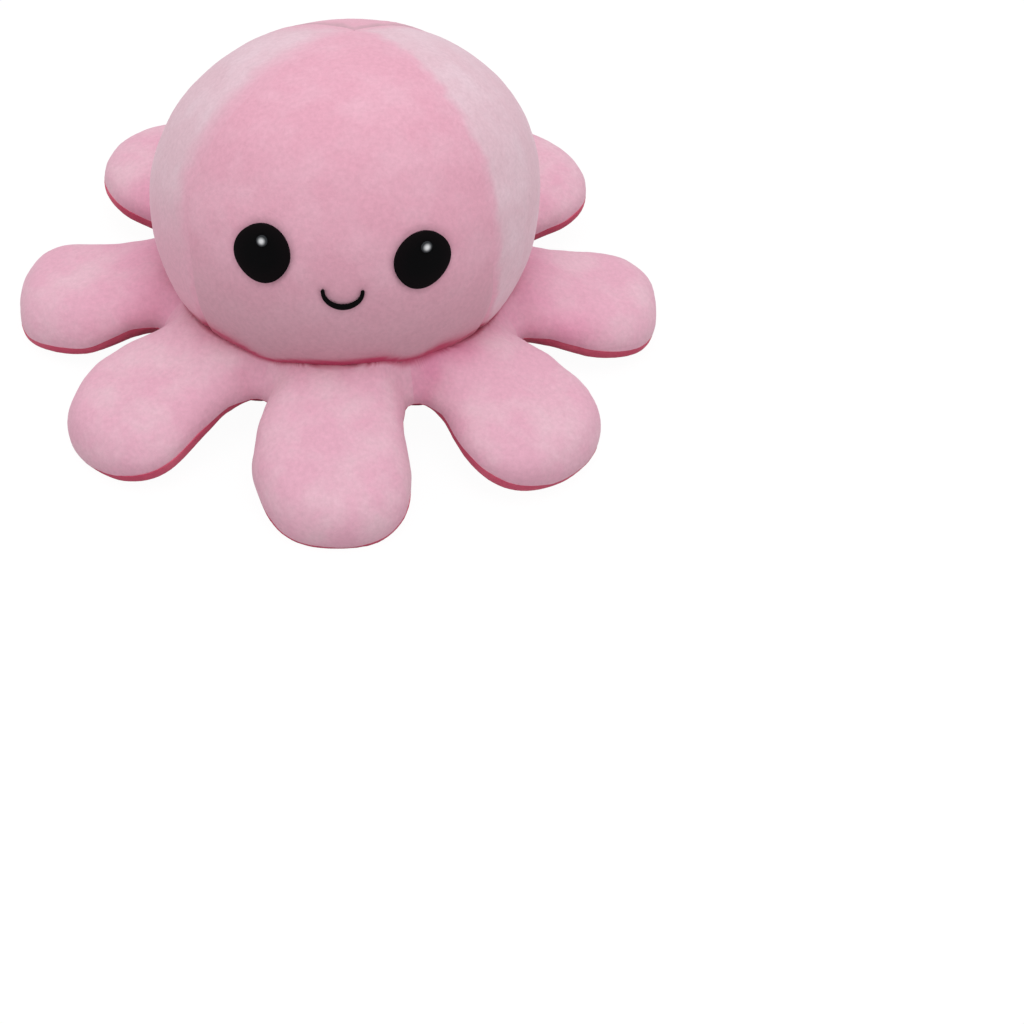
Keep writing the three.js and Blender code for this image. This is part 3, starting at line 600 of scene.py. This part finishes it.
def on_lobe(k, along, across, rise):
    """Points of lobe k, at plan places and heights above or below its middle surface."""
    roll, uneven = LIE[TENTACLES[k]][5:7]
    rolled = roll * mm * (1 - uneven * across / TIP_ROUND) * smooth(along, HINGE, TIP_MIDDLE)
    # In the notches at the front the pale cloth is drawn down too
    turn = np.abs(np.arctan2(across, along))
    front = ((1 + np.cos((k + np.sign(across) / 2) * SECTOR)) / 2) ** FRONT_POWER
    drawn = smooth(turn, SECTOR * 0.2, SECTOR / 2) * (1 - smooth(along, HINGE + 4 * mm, HINGE + 16 * mm))
    rolled = rolled + NOTCH_ROLL * front * drawn
    rise = rise - rolled * (1 - np.clip(from_edge(along, across) / ROLL_WIDE, 0, 1)) ** 2
    along, across = lying(k, along, across)
    azimuth = k * SECTOR + np.arctan2(across, along)
    reach = np.hypot(along, across)
    # The stuffing pushes up the valley right of the front tentacle
    valley = np.exp(-((azimuth - SECTOR / 2) / VALLEY_WIDE) ** 2) * (1 - smooth(reach, *VALLEY_FADE))
    rise = rise + VALLEY_LIFT * valley * np.where(rise > 0, 1, VALLEY_UNDER)
    skirt = around(azimuth, reach, middle_height(azimuth) + rise)
    local = stack(along - HINGE, across, rise)
    matrix = root_matrix(k)
    tentacle = local @ matrix[:3, :3].T + matrix[:3, 3]
    share = smooth(along, HINGE - 8 * mm, HINGE + 8 * mm)[:, None]
    return skirt + (tentacle - skirt) * share


def swelling(along, across, thick=PILLOW):
    """How high the stuffing lifts the cloth above the seam; the tip is blunter than the sides."""
    distance = from_edge(along, across)
    wide = ROOT_HALF - 4.5 * mm * smooth(along, TIP_MIDDLE, REACH)
    return thick * rounded(1 - np.clip(distance / wide, 0, 1), PILLOW_SQUARE)


# %% Shape of the top, the underside and the columns of their grids
def head_underside(reach):
    """Height of the head's cloth above a distance from the middle."""
    return HEAD_MIDDLE - HEAD_TALL * rounded(np.clip(reach / HEAD_WIDE, 0, 1), HEAD_SQUARE)


def top_at(k, along, across):
    """The top cloth over a plan point of lobe k: it touches the head's underside, then lies on the pillow."""
    flat = on_lobe(k, along, across, swelling(along, across, PILLOW + PILE))
    reach, azimuth = np.hypot(along, across), k * SECTOR + np.arctan2(across, along)
    # The puff is higher right of the chin
    puff = PUFF * (1 + 1.2 * np.exp(-((azimuth - 0.35) / 0.3) ** 2))
    puff = puff * smooth(from_edge(along, across), 0, 8 * mm)
    flat[:, 2] += puff * (1 - smooth(reach, CREASE + 7 * mm, HINGE + 4 * mm))
    # It is pressed a little into the head's cloth, which leans towards it at the front
    sunk = 1.2 * mm + 1.2 * mm * (1 + np.cos(azimuth)) / 2
    under_head = np.minimum(flat[:, 2], head_underside(reach) + sunk)
    flat[:, 2] = np.where(reach < HEAD_WIDE, under_head, flat[:, 2])
    # Its inner edge goes up to the neck, where it is sewn in
    grown = smooth(reach, CREASE - 1 * mm, CREASE + 1 * mm)
    flat[:, 2] = (NECK - 0.8 * mm) * (1 - grown) + flat[:, 2] * grown
    return flat


def underside_at(k, along, across):
    """The underside below a plan point of lobe k, down to the floor near the pocket's mouth."""
    aside = np.abs(np.arctan2(across, along))
    thinning = smooth(aside, NOTCH_THIN_FROM, SECTOR / 2) * (1 - smooth(along, HINGE - 4 * mm, HINGE))
    thick = PILLOW + (NOTCH_THICK - PILLOW) * thinning
    flat = on_lobe(k, along, across, -swelling(along, across, thick))
    # Between the lobes the belly stays further in, out of sight
    belly_end = BELLY_END - 9 * mm * smooth(aside, NOTCH_THIN_FROM, SECTOR / 2)
    belly = 1 - smooth(np.hypot(along, across), BELLY, belly_end)
    flat[:, 2] = np.maximum(flat[:, 2] * (1 - belly), 0)
    return flat


def column_point(u, inner, share):
    """A plan point on the column at u, a share of the way from an inner radius to the lobe's edge."""
    edge_along, edge_across = edge_point(u)
    # Columns are spread evenly where they leave the middle, so that none crosses another
    angle = 0.55 * np.arctan2(edge_across, edge_along) + 0.45 * u * SECTOR / 2
    # Those that end beside the root bow inwards, so that they meet the edge less slantwise
    bow = BOW * smooth(np.abs(u), 0.25, 0.65) * (1 - smooth(np.abs(u), 0.7, 0.95)) * np.sign(u)
    bow = bow * 4 * share * (1 - share)
    return (inner * np.cos(angle) * (1 - share) + edge_along * share,
            inner * np.sin(angle) * (1 - share) + edge_across * share - bow)


def wrinkled(made, shape, columns, rows):
    """Give a sector its lumps, which fade where it meets its neighbours."""
    u, _ = grid_places(columns, rows)
    fluffed(made, shape, smooth(1 - np.abs(u * 2 - 1), 0, 0.12))


def sewn_in(piece, k, part):
    """Hide the solids that a piece of sector k stands in for, in front the skirt's too, and bake its place
    into its points.
    """
    tentacle = TENTACLES[k] + "_tentacle"
    out = around(np.float64(k * SECTOR), 1.0, 0.0)
    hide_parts(tentacle + "_" + part, *(["skirt_" + part] if k == 0 else []))
    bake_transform(piece)


# %% Tops of the skirt and tentacles
TOP_INNER, TOP_COLUMNS, TOP_ROWS = 41.5 * mm, 96, 72
# Painted shade at each tentacle's root, next to the head: how much, and how far out in mm
ROOT_SHADE = {"front": (0, 60), "front_right": (0.4, 62), "right": (0.45, 76), "back_right": (0.4, 76),
           "back": (0.4, 62), "back_left": (0.9, 84), "left": (0.35, 84), "front_left": (0.15, 62)}
# Patches of painted shade: how much, where, and how wide in mm
SHADE_PATCHES = [(0.55, 31, -42, 7), (0.35, 26, -51, 4.5), (0.6, 68, -22, 7)]


def beside_chin(azimuth):
    """The painted shade in the crease is deepest and widest at both sides of the chin."""
    return 0.8 * np.exp(-((azimuth - 0.47) / 0.28) ** 2) + 0.45 * np.exp(-((azimuth + 0.66) / 0.22) ** 2)


for k, tentacle in enumerate(TENTACLES):
    def on_top(u, v, k=k):
        return top_at(k, *column_point(u * 2 - 1, TOP_INNER, 1 - (1 - v) ** 2))

    top = shaped_grid(tentacle + "_top", TOP_COLUMNS, TOP_ROWS, on_top)
    top.data.flip_normals()
    wrinkled(top, [(0.5 * mm, 16 * mm), (0.18 * mm, 6 * mm), (0.07 * mm, 1.5 * mm)], TOP_COLUMNS, TOP_ROWS)
    # Painted shade: the roots near the head and a few patches turn towards the deeper third colour
    where = points_of(top)
    reach = np.hypot(where[:, 0], where[:, 1])
    ragged = lumps(where, 5 * mm, 2.0) * 2.5 * mm
    amount, far = ROOT_SHADE[tentacle]
    painted_shade = amount * (1 - smooth(reach + ragged, 50 * mm, far * mm))
    for amount, x, y, size in SHADE_PATCHES:
        away = np.hypot(where[:, 0] - x * mm, where[:, 1] - y * mm) / (size * mm)
        painted_shade = painted_shade + amount * np.exp(-away ** 2)
    written(top, "sheen_and_shade", np.clip(painted_shade, 0, 1))
    # Painted shade in the crease where the top comes close under the head, wider beside the chin
    gap = head_underside(reach) - where[:, 2]
    wide = 1 + 3 * beside_chin(np.arctan2(where[:, 0], -where[:, 1]))
    written(top, "crease_shade", 0.8 * (1 - smooth(gap + ragged * 0.2, -0.5 * mm, 1.3 * mm * wide)))
    finished(top, SKIRT_SHELL)
    top.data.materials.append(tentacle_cloth)
    sewn_in(top, k, "top_cloth")
print("tops:", COUNT, "sectors of", TOP_COLUMNS * TOP_ROWS, "faces before their thickness")

# %% Painted shade in the crease between the head and the skirt
# The head's cloth is painted with shade where the skirt's top comes close below it
for name, *_ in GORES:
    gore = bpy.data.objects[name + "_cloth"]
    where = points_of(gore)
    reach, azimuth = np.hypot(where[:, 0], where[:, 1]), np.arctan2(where[:, 0], -where[:, 1])
    skirt = np.full(len(where), -1.0)
    for k in range(COUNT):
        turn = np.mod(azimuth - k * SECTOR + math.pi, 2 * math.pi) - math.pi
        here = (np.abs(turn) <= SECTOR / 2) & (where[:, 2] < HEAD_MIDDLE)
        skirt[here] = top_at(k, (reach * np.cos(turn))[here], (reach * np.sin(turn))[here])[:, 2]
    above = where[:, 2] - skirt
    painted_shade = 0.9 * (1 - smooth(above, 1.4 * mm, 3.8 * mm)) + 0.13 * (1 - smooth(above, 2 * mm, 14 * mm))
    wide = beside_chin(azimuth) * (1 - smooth(above, 2 * mm, 8 * mm))
    written(gore, "crease_shade", np.clip(painted_shade + wide, 0, 1))

# %% Undersides of the skirt and tentacles
UNDER_COLUMNS, UNDER_ROWS = 72, 80
# Radius of the cloth in the pocket's mouth, the shares of the rows that run down it and round its rim, and
# the least height above the floor
WALL, WALL_ROWS, RIM_ROWS = POCKET_MOUTH - CLOTH, 0.12, 0.13
LEAST_HEIGHT = 0.03 * mm

for k, tentacle in enumerate(TENTACLES):
    def on_underside(u, v, k=k):
        # The first rows run down the pocket's mouth and round its rim
        down = np.clip(v / WALL_ROWS, 0, 1)
        turn = np.clip((v - WALL_ROWS) / RIM_ROWS, 0, 1) * math.pi / 2
        wall_reach = WALL + (RIM - WALL) * (1 - np.cos(turn))
        wall_tall = NECK * (1 - down) + RIM_TALL * down - RIM_TALL * np.sin(turn)
        bottom = WALL_ROWS + RIM_ROWS
        share = 1 - (1 - np.clip((v - bottom) / (1 - bottom), 0, 1)) ** 2
        flat = underside_at(k, *column_point(u * 2 - 1, wall_reach, share))
        flat[:, 2] = np.where(v < bottom, wall_tall, flat[:, 2])
        return flat

    under = shaped_grid(tentacle + "_underside", UNDER_COLUMNS, UNDER_ROWS, on_underside)
    wrinkled(under, [(0.3 * mm, 12 * mm), (0.07 * mm, 1.5 * mm)], UNDER_COLUMNS, UNDER_ROWS)
    where = points_of(under)
    where[:, 2] = np.maximum(where[:, 2], LEAST_HEIGHT)
    under.data.vertices.foreach_set("co", where.reshape(-1).astype(np.float32))
    written_plain(under)
    finished(under, SKIRT_SHELL)
    under.data.materials.append(rose_cloth)
    sewn_in(under, k, "bottom_cloth")
print("undersides:", COUNT, "sectors of", UNDER_COLUMNS * UNDER_ROWS, "faces before their thickness")

# %% [markdown]
# ## Filling
# Polyester fibre fills the skirt and the tentacles as one mass, and the head round its pocket. It only shows
# where a seam opens, so it is a lumpy white body that keeps clear of the cloth on all sides.

# %% Filling of the skirt and tentacles
fibre = bpy.data.materials.new("polyester_fibre")
tree = empty_tree(fibre)
place = node(tree, "ShaderNodeTexCoord").outputs["Object"]
strands = node(tree, "ShaderNodeTexNoise", {"Vector": place}, Scale=1 / (2 * mm), Detail=4.0, Distortion=1.2)
bump = node(tree, "ShaderNodeBump", {"Height": strands.outputs["Fac"]}, Strength=0.6, Distance=0.6 * mm)
wool = node(tree, "ShaderNodeBsdfPrincipled", {"Normal": bump.outputs[0]}, {"Base Color": linear("f4f1ec")},
            Roughness=0.9)
node(tree, "ShaderNodeOutputMaterial", {"Surface": wool.outputs[0]})

# How far it keeps clear of the cloth's edge and of its surface
CLEAR = 3 * mm
FIBRE_COLUMNS, FIBRE_ROWS = 40, 64

for k, tentacle in enumerate(TENTACLES):
    def on_filling(u, v, k=k):
        # Rows run out along the top and back along the bottom; all edges pinch together
        going = 1 - np.abs(2 * v - 1)
        length = np.hypot(*edge_point(u * 2 - 1)) - CREASE
        along, across = column_point(u * 2 - 1, CREASE, going * (1 - CLEAR / length))
        above, below = top_at(k, along, across), underside_at(k, along, across)
        half = (above - below) / 2
        thick = np.linalg.norm(half, axis=1)
        room = np.clip(thick - CLEAR, 0, None) / thick
        pinch = smooth(1 - np.abs(u * 2 - 1), 0, 0.15) * smooth(going, 0, 0.1) * smooth(1 - going, 0, 0.04)
        side = np.where(v < 0.5, 1, -1) * room * pinch
        return (above + below) / 2 + half * side[:, None]

    stuffing = shaped_grid(tentacle + "_fibre", FIBRE_COLUMNS, FIBRE_ROWS, on_filling)
    stuffing.data.flip_normals()
    finished(stuffing)
    stuffing.data.materials.append(fibre)
    sewn_in(stuffing, k, "filling")
print("fillings:", COUNT, "sectors")

# %% Shape of the pocket
# The share of the pocket's wall that is below its widest height
POCKET_LOW = 0.35


def pocket_dome(azimuth, angle, off):
    """A point of the pocket's dome: angle runs from its widest height to its top."""
    reach = (POCKET_WIDE + off) * np.cos(angle) ** (2 / POCKET_SQUARE)
    rise = (POCKET_TOP - POCKET_WIDEST + off) * np.sin(angle) ** (2 / POCKET_SQUARE)
    return around(azimuth, reach, POCKET_WIDEST + rise)


def pocket_radius(height, off=0.0):
    """The pocket's radius at a height."""
    share = (POCKET_WIDEST - height) / (POCKET_WIDEST - NECK)
    low = POCKET_WIDE + off - (POCKET_WIDE - POCKET_MOUTH) * share ** 2
    high = (POCKET_WIDE + off) * rounded((height - POCKET_WIDEST) / (POCKET_TOP - POCKET_WIDEST + off),
                                         POCKET_SQUARE)
    return np.where(height < POCKET_WIDEST, low, high)


def pocket_wall(azimuth, share, off):
    """The whole pocket from its mouth, at share 0, to its top, at 1."""
    height = NECK + (POCKET_WIDEST - NECK) * np.clip(share / POCKET_LOW, 0, 1)
    angle = CROWN_ANGLE * np.clip((share - POCKET_LOW) / (1 - POCKET_LOW), 0, 1)
    low = around(azimuth, pocket_radius(height, off), height)
    return np.where((share < POCKET_LOW)[:, None], low, pocket_dome(azimuth, angle, off))


# %% Filling of the head
# How far it keeps inside the head's surface and outside the pocket's
FIBRE_INSIDE, FIBRE_OUTSIDE = 2.8 * mm, 1.4 * mm
HEAD_FIBRE_GRID = (96, 120)


def on_head_filling(u, v):
    """Rows run up under the head's cloth, then down over the pocket."""
    azimuth = 2 * math.pi * u
    outer = np.clip(v / 0.5, 0, 1)
    inner = np.clip((1 - v) / 0.45, 0, 1)
    outside = dome(azimuth, NECK_ANGLE + (CROWN_ANGLE - NECK_ANGLE) * outer, -FIBRE_INSIDE)
    inside = pocket_wall(azimuth, inner, FIBRE_OUTSIDE)
    where = np.where((v <= 0.5)[:, None], outside, inside)
    # The last rows close the ring at the neck
    closing = smooth(v, 0.97, 1)[:, None]
    neck = dome(azimuth, np.full_like(azimuth, NECK_ANGLE), -FIBRE_INSIDE)
    return leaned(where * (1 - closing) + neck * closing)


stuffing = shaped_grid("head_fibre", *HEAD_FIBRE_GRID, on_head_filling)
finished(fluffed(stuffing, [(0.5 * mm, 12 * mm)]))
stuffing.data.materials.append(fibre)
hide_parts("head_filling")
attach(stuffing, "body")
print("head filling:", len(stuffing.data.polygons), "faces")

# %% [markdown]
# ## Pocket lining
# The head is lined with the rose cloth, four gores again, so that the toy can be pushed through its own mouth
# and show the frowning face. From outside it shows only in the pocket's mouth.

# %% Lining gores
LINING_COLUMNS, LINING_ROWS = 64, 72

for name, start, end in GORES:
    def on_lining(u, v, start=start, end=end):
        azimuth = start + (end - start) * u
        flat = pocket_wall(azimuth, v, -CLOTH)
        reach = np.hypot(flat[:, 0], flat[:, 1])
        from_seam = np.minimum(azimuth - start, end - azimuth) * reach
        dip = np.exp(-(from_seam / SEAM_DIP) ** 2) * smooth(reach, *DIP_FADE)
        return leaned(pocket_wall(azimuth, v, -CLOTH + 0.7 * mm * dip + 0.15 * mm * lumps(flat, 9 * mm)))

    lining = shaped_grid(name + "_lining_cloth", LINING_COLUMNS, LINING_ROWS, on_lining)
    lining.data.flip_normals()
    written_plain(lining)
    finished(lining, LINING_SHELL)
    lining.data.materials.append(rose_side_sheen_cloth if "side" in name else rose_cloth)
    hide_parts(name + "_lining")
    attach(lining, "body")
print("lining: four gores")

# %% [markdown]
# ## Embroidered face
# The eyes, their glints and the mouth are filled with satin stitches of shiny dark thread, the glints of pale
# thread. Each patch stands a little proud of the pile and is domed by the stitches that cross under it.

# %% Thread
def stitched_thread(name, colour, rim, pitch):
    """Rayon thread laid side by side: fine ridges across the patch, a soft gloss along them."""
    material = bpy.data.materials.new(name)
    tree = empty_tree(material)
    place = node(tree, "ShaderNodeTexCoord").outputs["Object"]
    ridges = node(tree, "ShaderNodeTexWave", {"Vector": place}, wave_type="BANDS", bands_direction="Z",
                  Distortion=1.5, Detail=1.0, Scale=0.5 / pitch)
    fade = node(tree, "ShaderNodeAttribute", attribute_name="rim")
    mixed = node(tree, "ShaderNodeMix", {0: fade.outputs["Fac"]}, {6: linear(colour), 7: linear(rim)},
                 data_type="RGBA")
    bump = node(tree, "ShaderNodeBump", {"Height": ridges.outputs["Fac"]}, Strength=0.3, Distance=0.1 * mm)
    gloss = node(tree, "ShaderNodeBsdfPrincipled",
                 {"Base Color": mixed.outputs[2], "Normal": bump.outputs[0]},
                 {"Specular IOR Level": 0.06}, Roughness=0.75)
    node(tree, "ShaderNodeOutputMaterial", {"Surface": gloss.outputs[0]})
    return material


THREAD_PITCH = 0.4 * mm
black_thread = stitched_thread("rayon_thread_black", "040405", "0a0608", THREAD_PITCH)
pale_thread = stitched_thread("rayon_thread_pale", "e6eaec", "34373a", THREAD_PITCH)
print("threads:", black_thread.name, pale_thread.name)

# %% Stitched patches
# The patches' grid, and the share of its rows on their tops
PATCH_AROUND, PATCH_RINGS, PATCH_TOP_ROWS = 64, 20, 0.8
# How far the stitches stand off the head's solid, how much the patch is domed, and how deep its edge goes
EYE_BASE, EYE_THICK, PATCH_SUNK = 0.2 * mm, 1.0 * mm, 0.8 * mm
GLINT, GLINT_BASE, GLINT_THICK = 1.6 * mm, 1.3 * mm, 0.4 * mm
# A glint's place in its eye, and the shares of its radius between which it fades into the dark thread
GLINT_UP, GLINT_ASIDE, GLINT_FADE = 3.6 * mm, math.radians(0.4), (0.1, 0.7)


def on_head(azimuth, height, off):
    """A point off the head's outside."""
    return leaned(around(azimuth, head_radius(height, off), height))


def in_pocket(azimuth, height, off):
    """A point off the lining, inside the pocket."""
    return leaned(around(azimuth, pocket_radius(height, -CLOTH - off), height))


def patch(name, surface, cloth_radius, azimuth, height, outline, base, thick, fade=(0.35, 0.8)):
    """A domed disc of stitches: outline(angle, share) gives its points along and up the cloth."""
    def on_patch(u, v):
        share = np.clip(v / PATCH_TOP_ROWS, 0.0005, 1)
        along, rise = outline(2 * math.pi * u, share)
        domed = base + thick * (0.45 + 0.55 * rounded(share, 2.2))
        # The last rows turn down through the pile, into the cloth
        down = base + thick * 0.45 - (base + PATCH_SUNK) * (v - PATCH_TOP_ROWS) / (1 - PATCH_TOP_ROWS)
        off = np.where(v > PATCH_TOP_ROWS, down, domed)
        return surface(azimuth + along / cloth_radius, height + rise, off)

    made = shaped_grid(name, PATCH_AROUND, PATCH_RINGS, on_patch)
    if surface is on_head:
        made.data.flip_normals()
    _, share = grid_places(PATCH_AROUND, PATCH_RINGS)
    written(made, "rim", smooth(share, *fade))
    return finished(made, PATCH_SHELL)


def stitched_on(made, thread, stands_for):
    """Colour stitches on the head or its lining, hide the solid they stand in for, and hang them on the body.
    """
    made.data.materials.append(thread)
    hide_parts(stands_for)
    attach(made, "body")


# %% Eyes
def glint_outline(angle, share):
    """A small round disc."""
    return GLINT * share * np.cos(angle), GLINT * share * np.sin(angle)


for name, azimuth, height, tall, tilt in EYES:
    def eye_outline(angle, share, tall=tall, tilt=tilt):
        """An egg, a little wider below, that leans by the tilt."""
        along = EYE_WIDE * share * np.cos(angle) * (1 - 0.06 * np.sin(angle))
        rise = tall * share * np.sin(angle)
        return (along * math.cos(tilt) - rise * math.sin(tilt),
                along * math.sin(tilt) + rise * math.cos(tilt))

    eye = patch(name + "_eye_stitches", on_head, head_radius(height), azimuth, height, eye_outline, EYE_BASE,
                EYE_THICK)
    stitched_on(eye, black_thread, name + "_eye")
    glint = patch(name + "_glint_stitches", on_head, head_radius(height), azimuth + GLINT_ASIDE,
                  height + GLINT_UP, glint_outline, GLINT_BASE, GLINT_THICK, GLINT_FADE)
    stitched_on(glint, pale_thread, name + "_eye_glint")
print("eyes at", [(eye[0], round(math.degrees(eye[1]), 1), round(eye[2] / mm, 1)) for eye in EYES])


# %% Mouths
CORD_AROUND, CORD_ROWS, CORD_ENDS = 16, 60, 0.08
FROWN_CORNER, FROWN_RISE = 40.5 * mm, 3.4 * mm


def mouth(name, surface, azimuth, corner, wide, depth, cloth_radius, facing):
    """A rounded cord of stitches along half an oval, with round ends that take a share of the rows each."""
    def on_mouth(u, v):
        around_cord = 2 * math.pi * u
        reach = np.clip((v - CORD_ENDS) / (1 - 2 * CORD_ENDS), 0, 1)
        turn = math.pi * (1 - reach)
        past = (np.clip(v - (1 - CORD_ENDS), 0, 1) - np.clip(CORD_ENDS - v, 0, 1)) / CORD_ENDS
        slim = np.sqrt(np.clip(1 - past ** 2, 0.0004, 1)) * STITCH / 2
        out = slim * np.cos(around_cord)
        along = (wide + out) * np.cos(turn)
        rise = ((abs(depth) + out) * np.sin(turn) - np.abs(past) * STITCH / 2) * np.sign(depth)
        off = 0.25 * mm + 1.1 * slim * np.sin(around_cord)
        return surface(azimuth + along / cloth_radius, corner + rise, off)

    made = shaped_grid(name, CORD_AROUND, CORD_ROWS, on_mouth)
    if facing:
        made.data.flip_normals()
    written(made, "rim", np.zeros(len(made.data.vertices)))
    return finished(made)


smile = mouth("smile_stitches", on_head, SMILE_AZIMUTH, SMILE_CORNER, SMILE_WIDE, -SMILE_DROP,
              head_radius(SMILE_CORNER), True)
stitched_on(smile, black_thread, "smile")
frown = mouth("frown_stitches", in_pocket, 0.0, FROWN_CORNER, SMILE_WIDE, FROWN_RISE,
              float(pocket_radius(FROWN_CORNER, -CLOTH)), False)
stitched_on(frown, black_thread, "lining_frown")
print("mouths:", smile.name, frown.name)

# %% Frowning eyes
POCKET_EYE_AZIMUTH, POCKET_EYE_HEIGHT = math.radians(27), 50 * mm
POCKET_EYE_WIDE, POCKET_EYE_TALL = 6.5 * mm, 6.2 * mm
BROW_TILT, BROW_SHARE = math.radians(9), 0.45
pocket_reach = float(pocket_radius(np.float64(POCKET_EYE_HEIGHT), -CLOTH))

for name, side in (("left", -1), ("right", 1)):
    def brow_outline(angle, share, side=side):
        """A disc whose top is cut by a brow that slants down towards the nose."""
        along, rise = POCKET_EYE_WIDE * np.cos(angle), POCKET_EYE_TALL * np.sin(angle)
        limit = POCKET_EYE_TALL * BROW_SHARE + along * math.tan(side * BROW_TILT)
        return along * share, np.minimum(rise, limit) * share

    cross_eye = patch("lining_" + name + "_eye_stitches", in_pocket, pocket_reach, side * POCKET_EYE_AZIMUTH,
                      POCKET_EYE_HEIGHT, brow_outline, EYE_BASE, EYE_THICK)
    stitched_on(cross_eye, black_thread, "lining_" + name + "_eye")
    cross_glint = patch("lining_" + name + "_glint_stitches", in_pocket, pocket_reach,
                        side * POCKET_EYE_AZIMUTH, POCKET_EYE_HEIGHT, glint_outline, GLINT_BASE, GLINT_THICK,
                        GLINT_FADE)
    stitched_on(cross_glint, pale_thread, "lining_" + name + "_eye_glint")
print("frowning eyes in the lining")
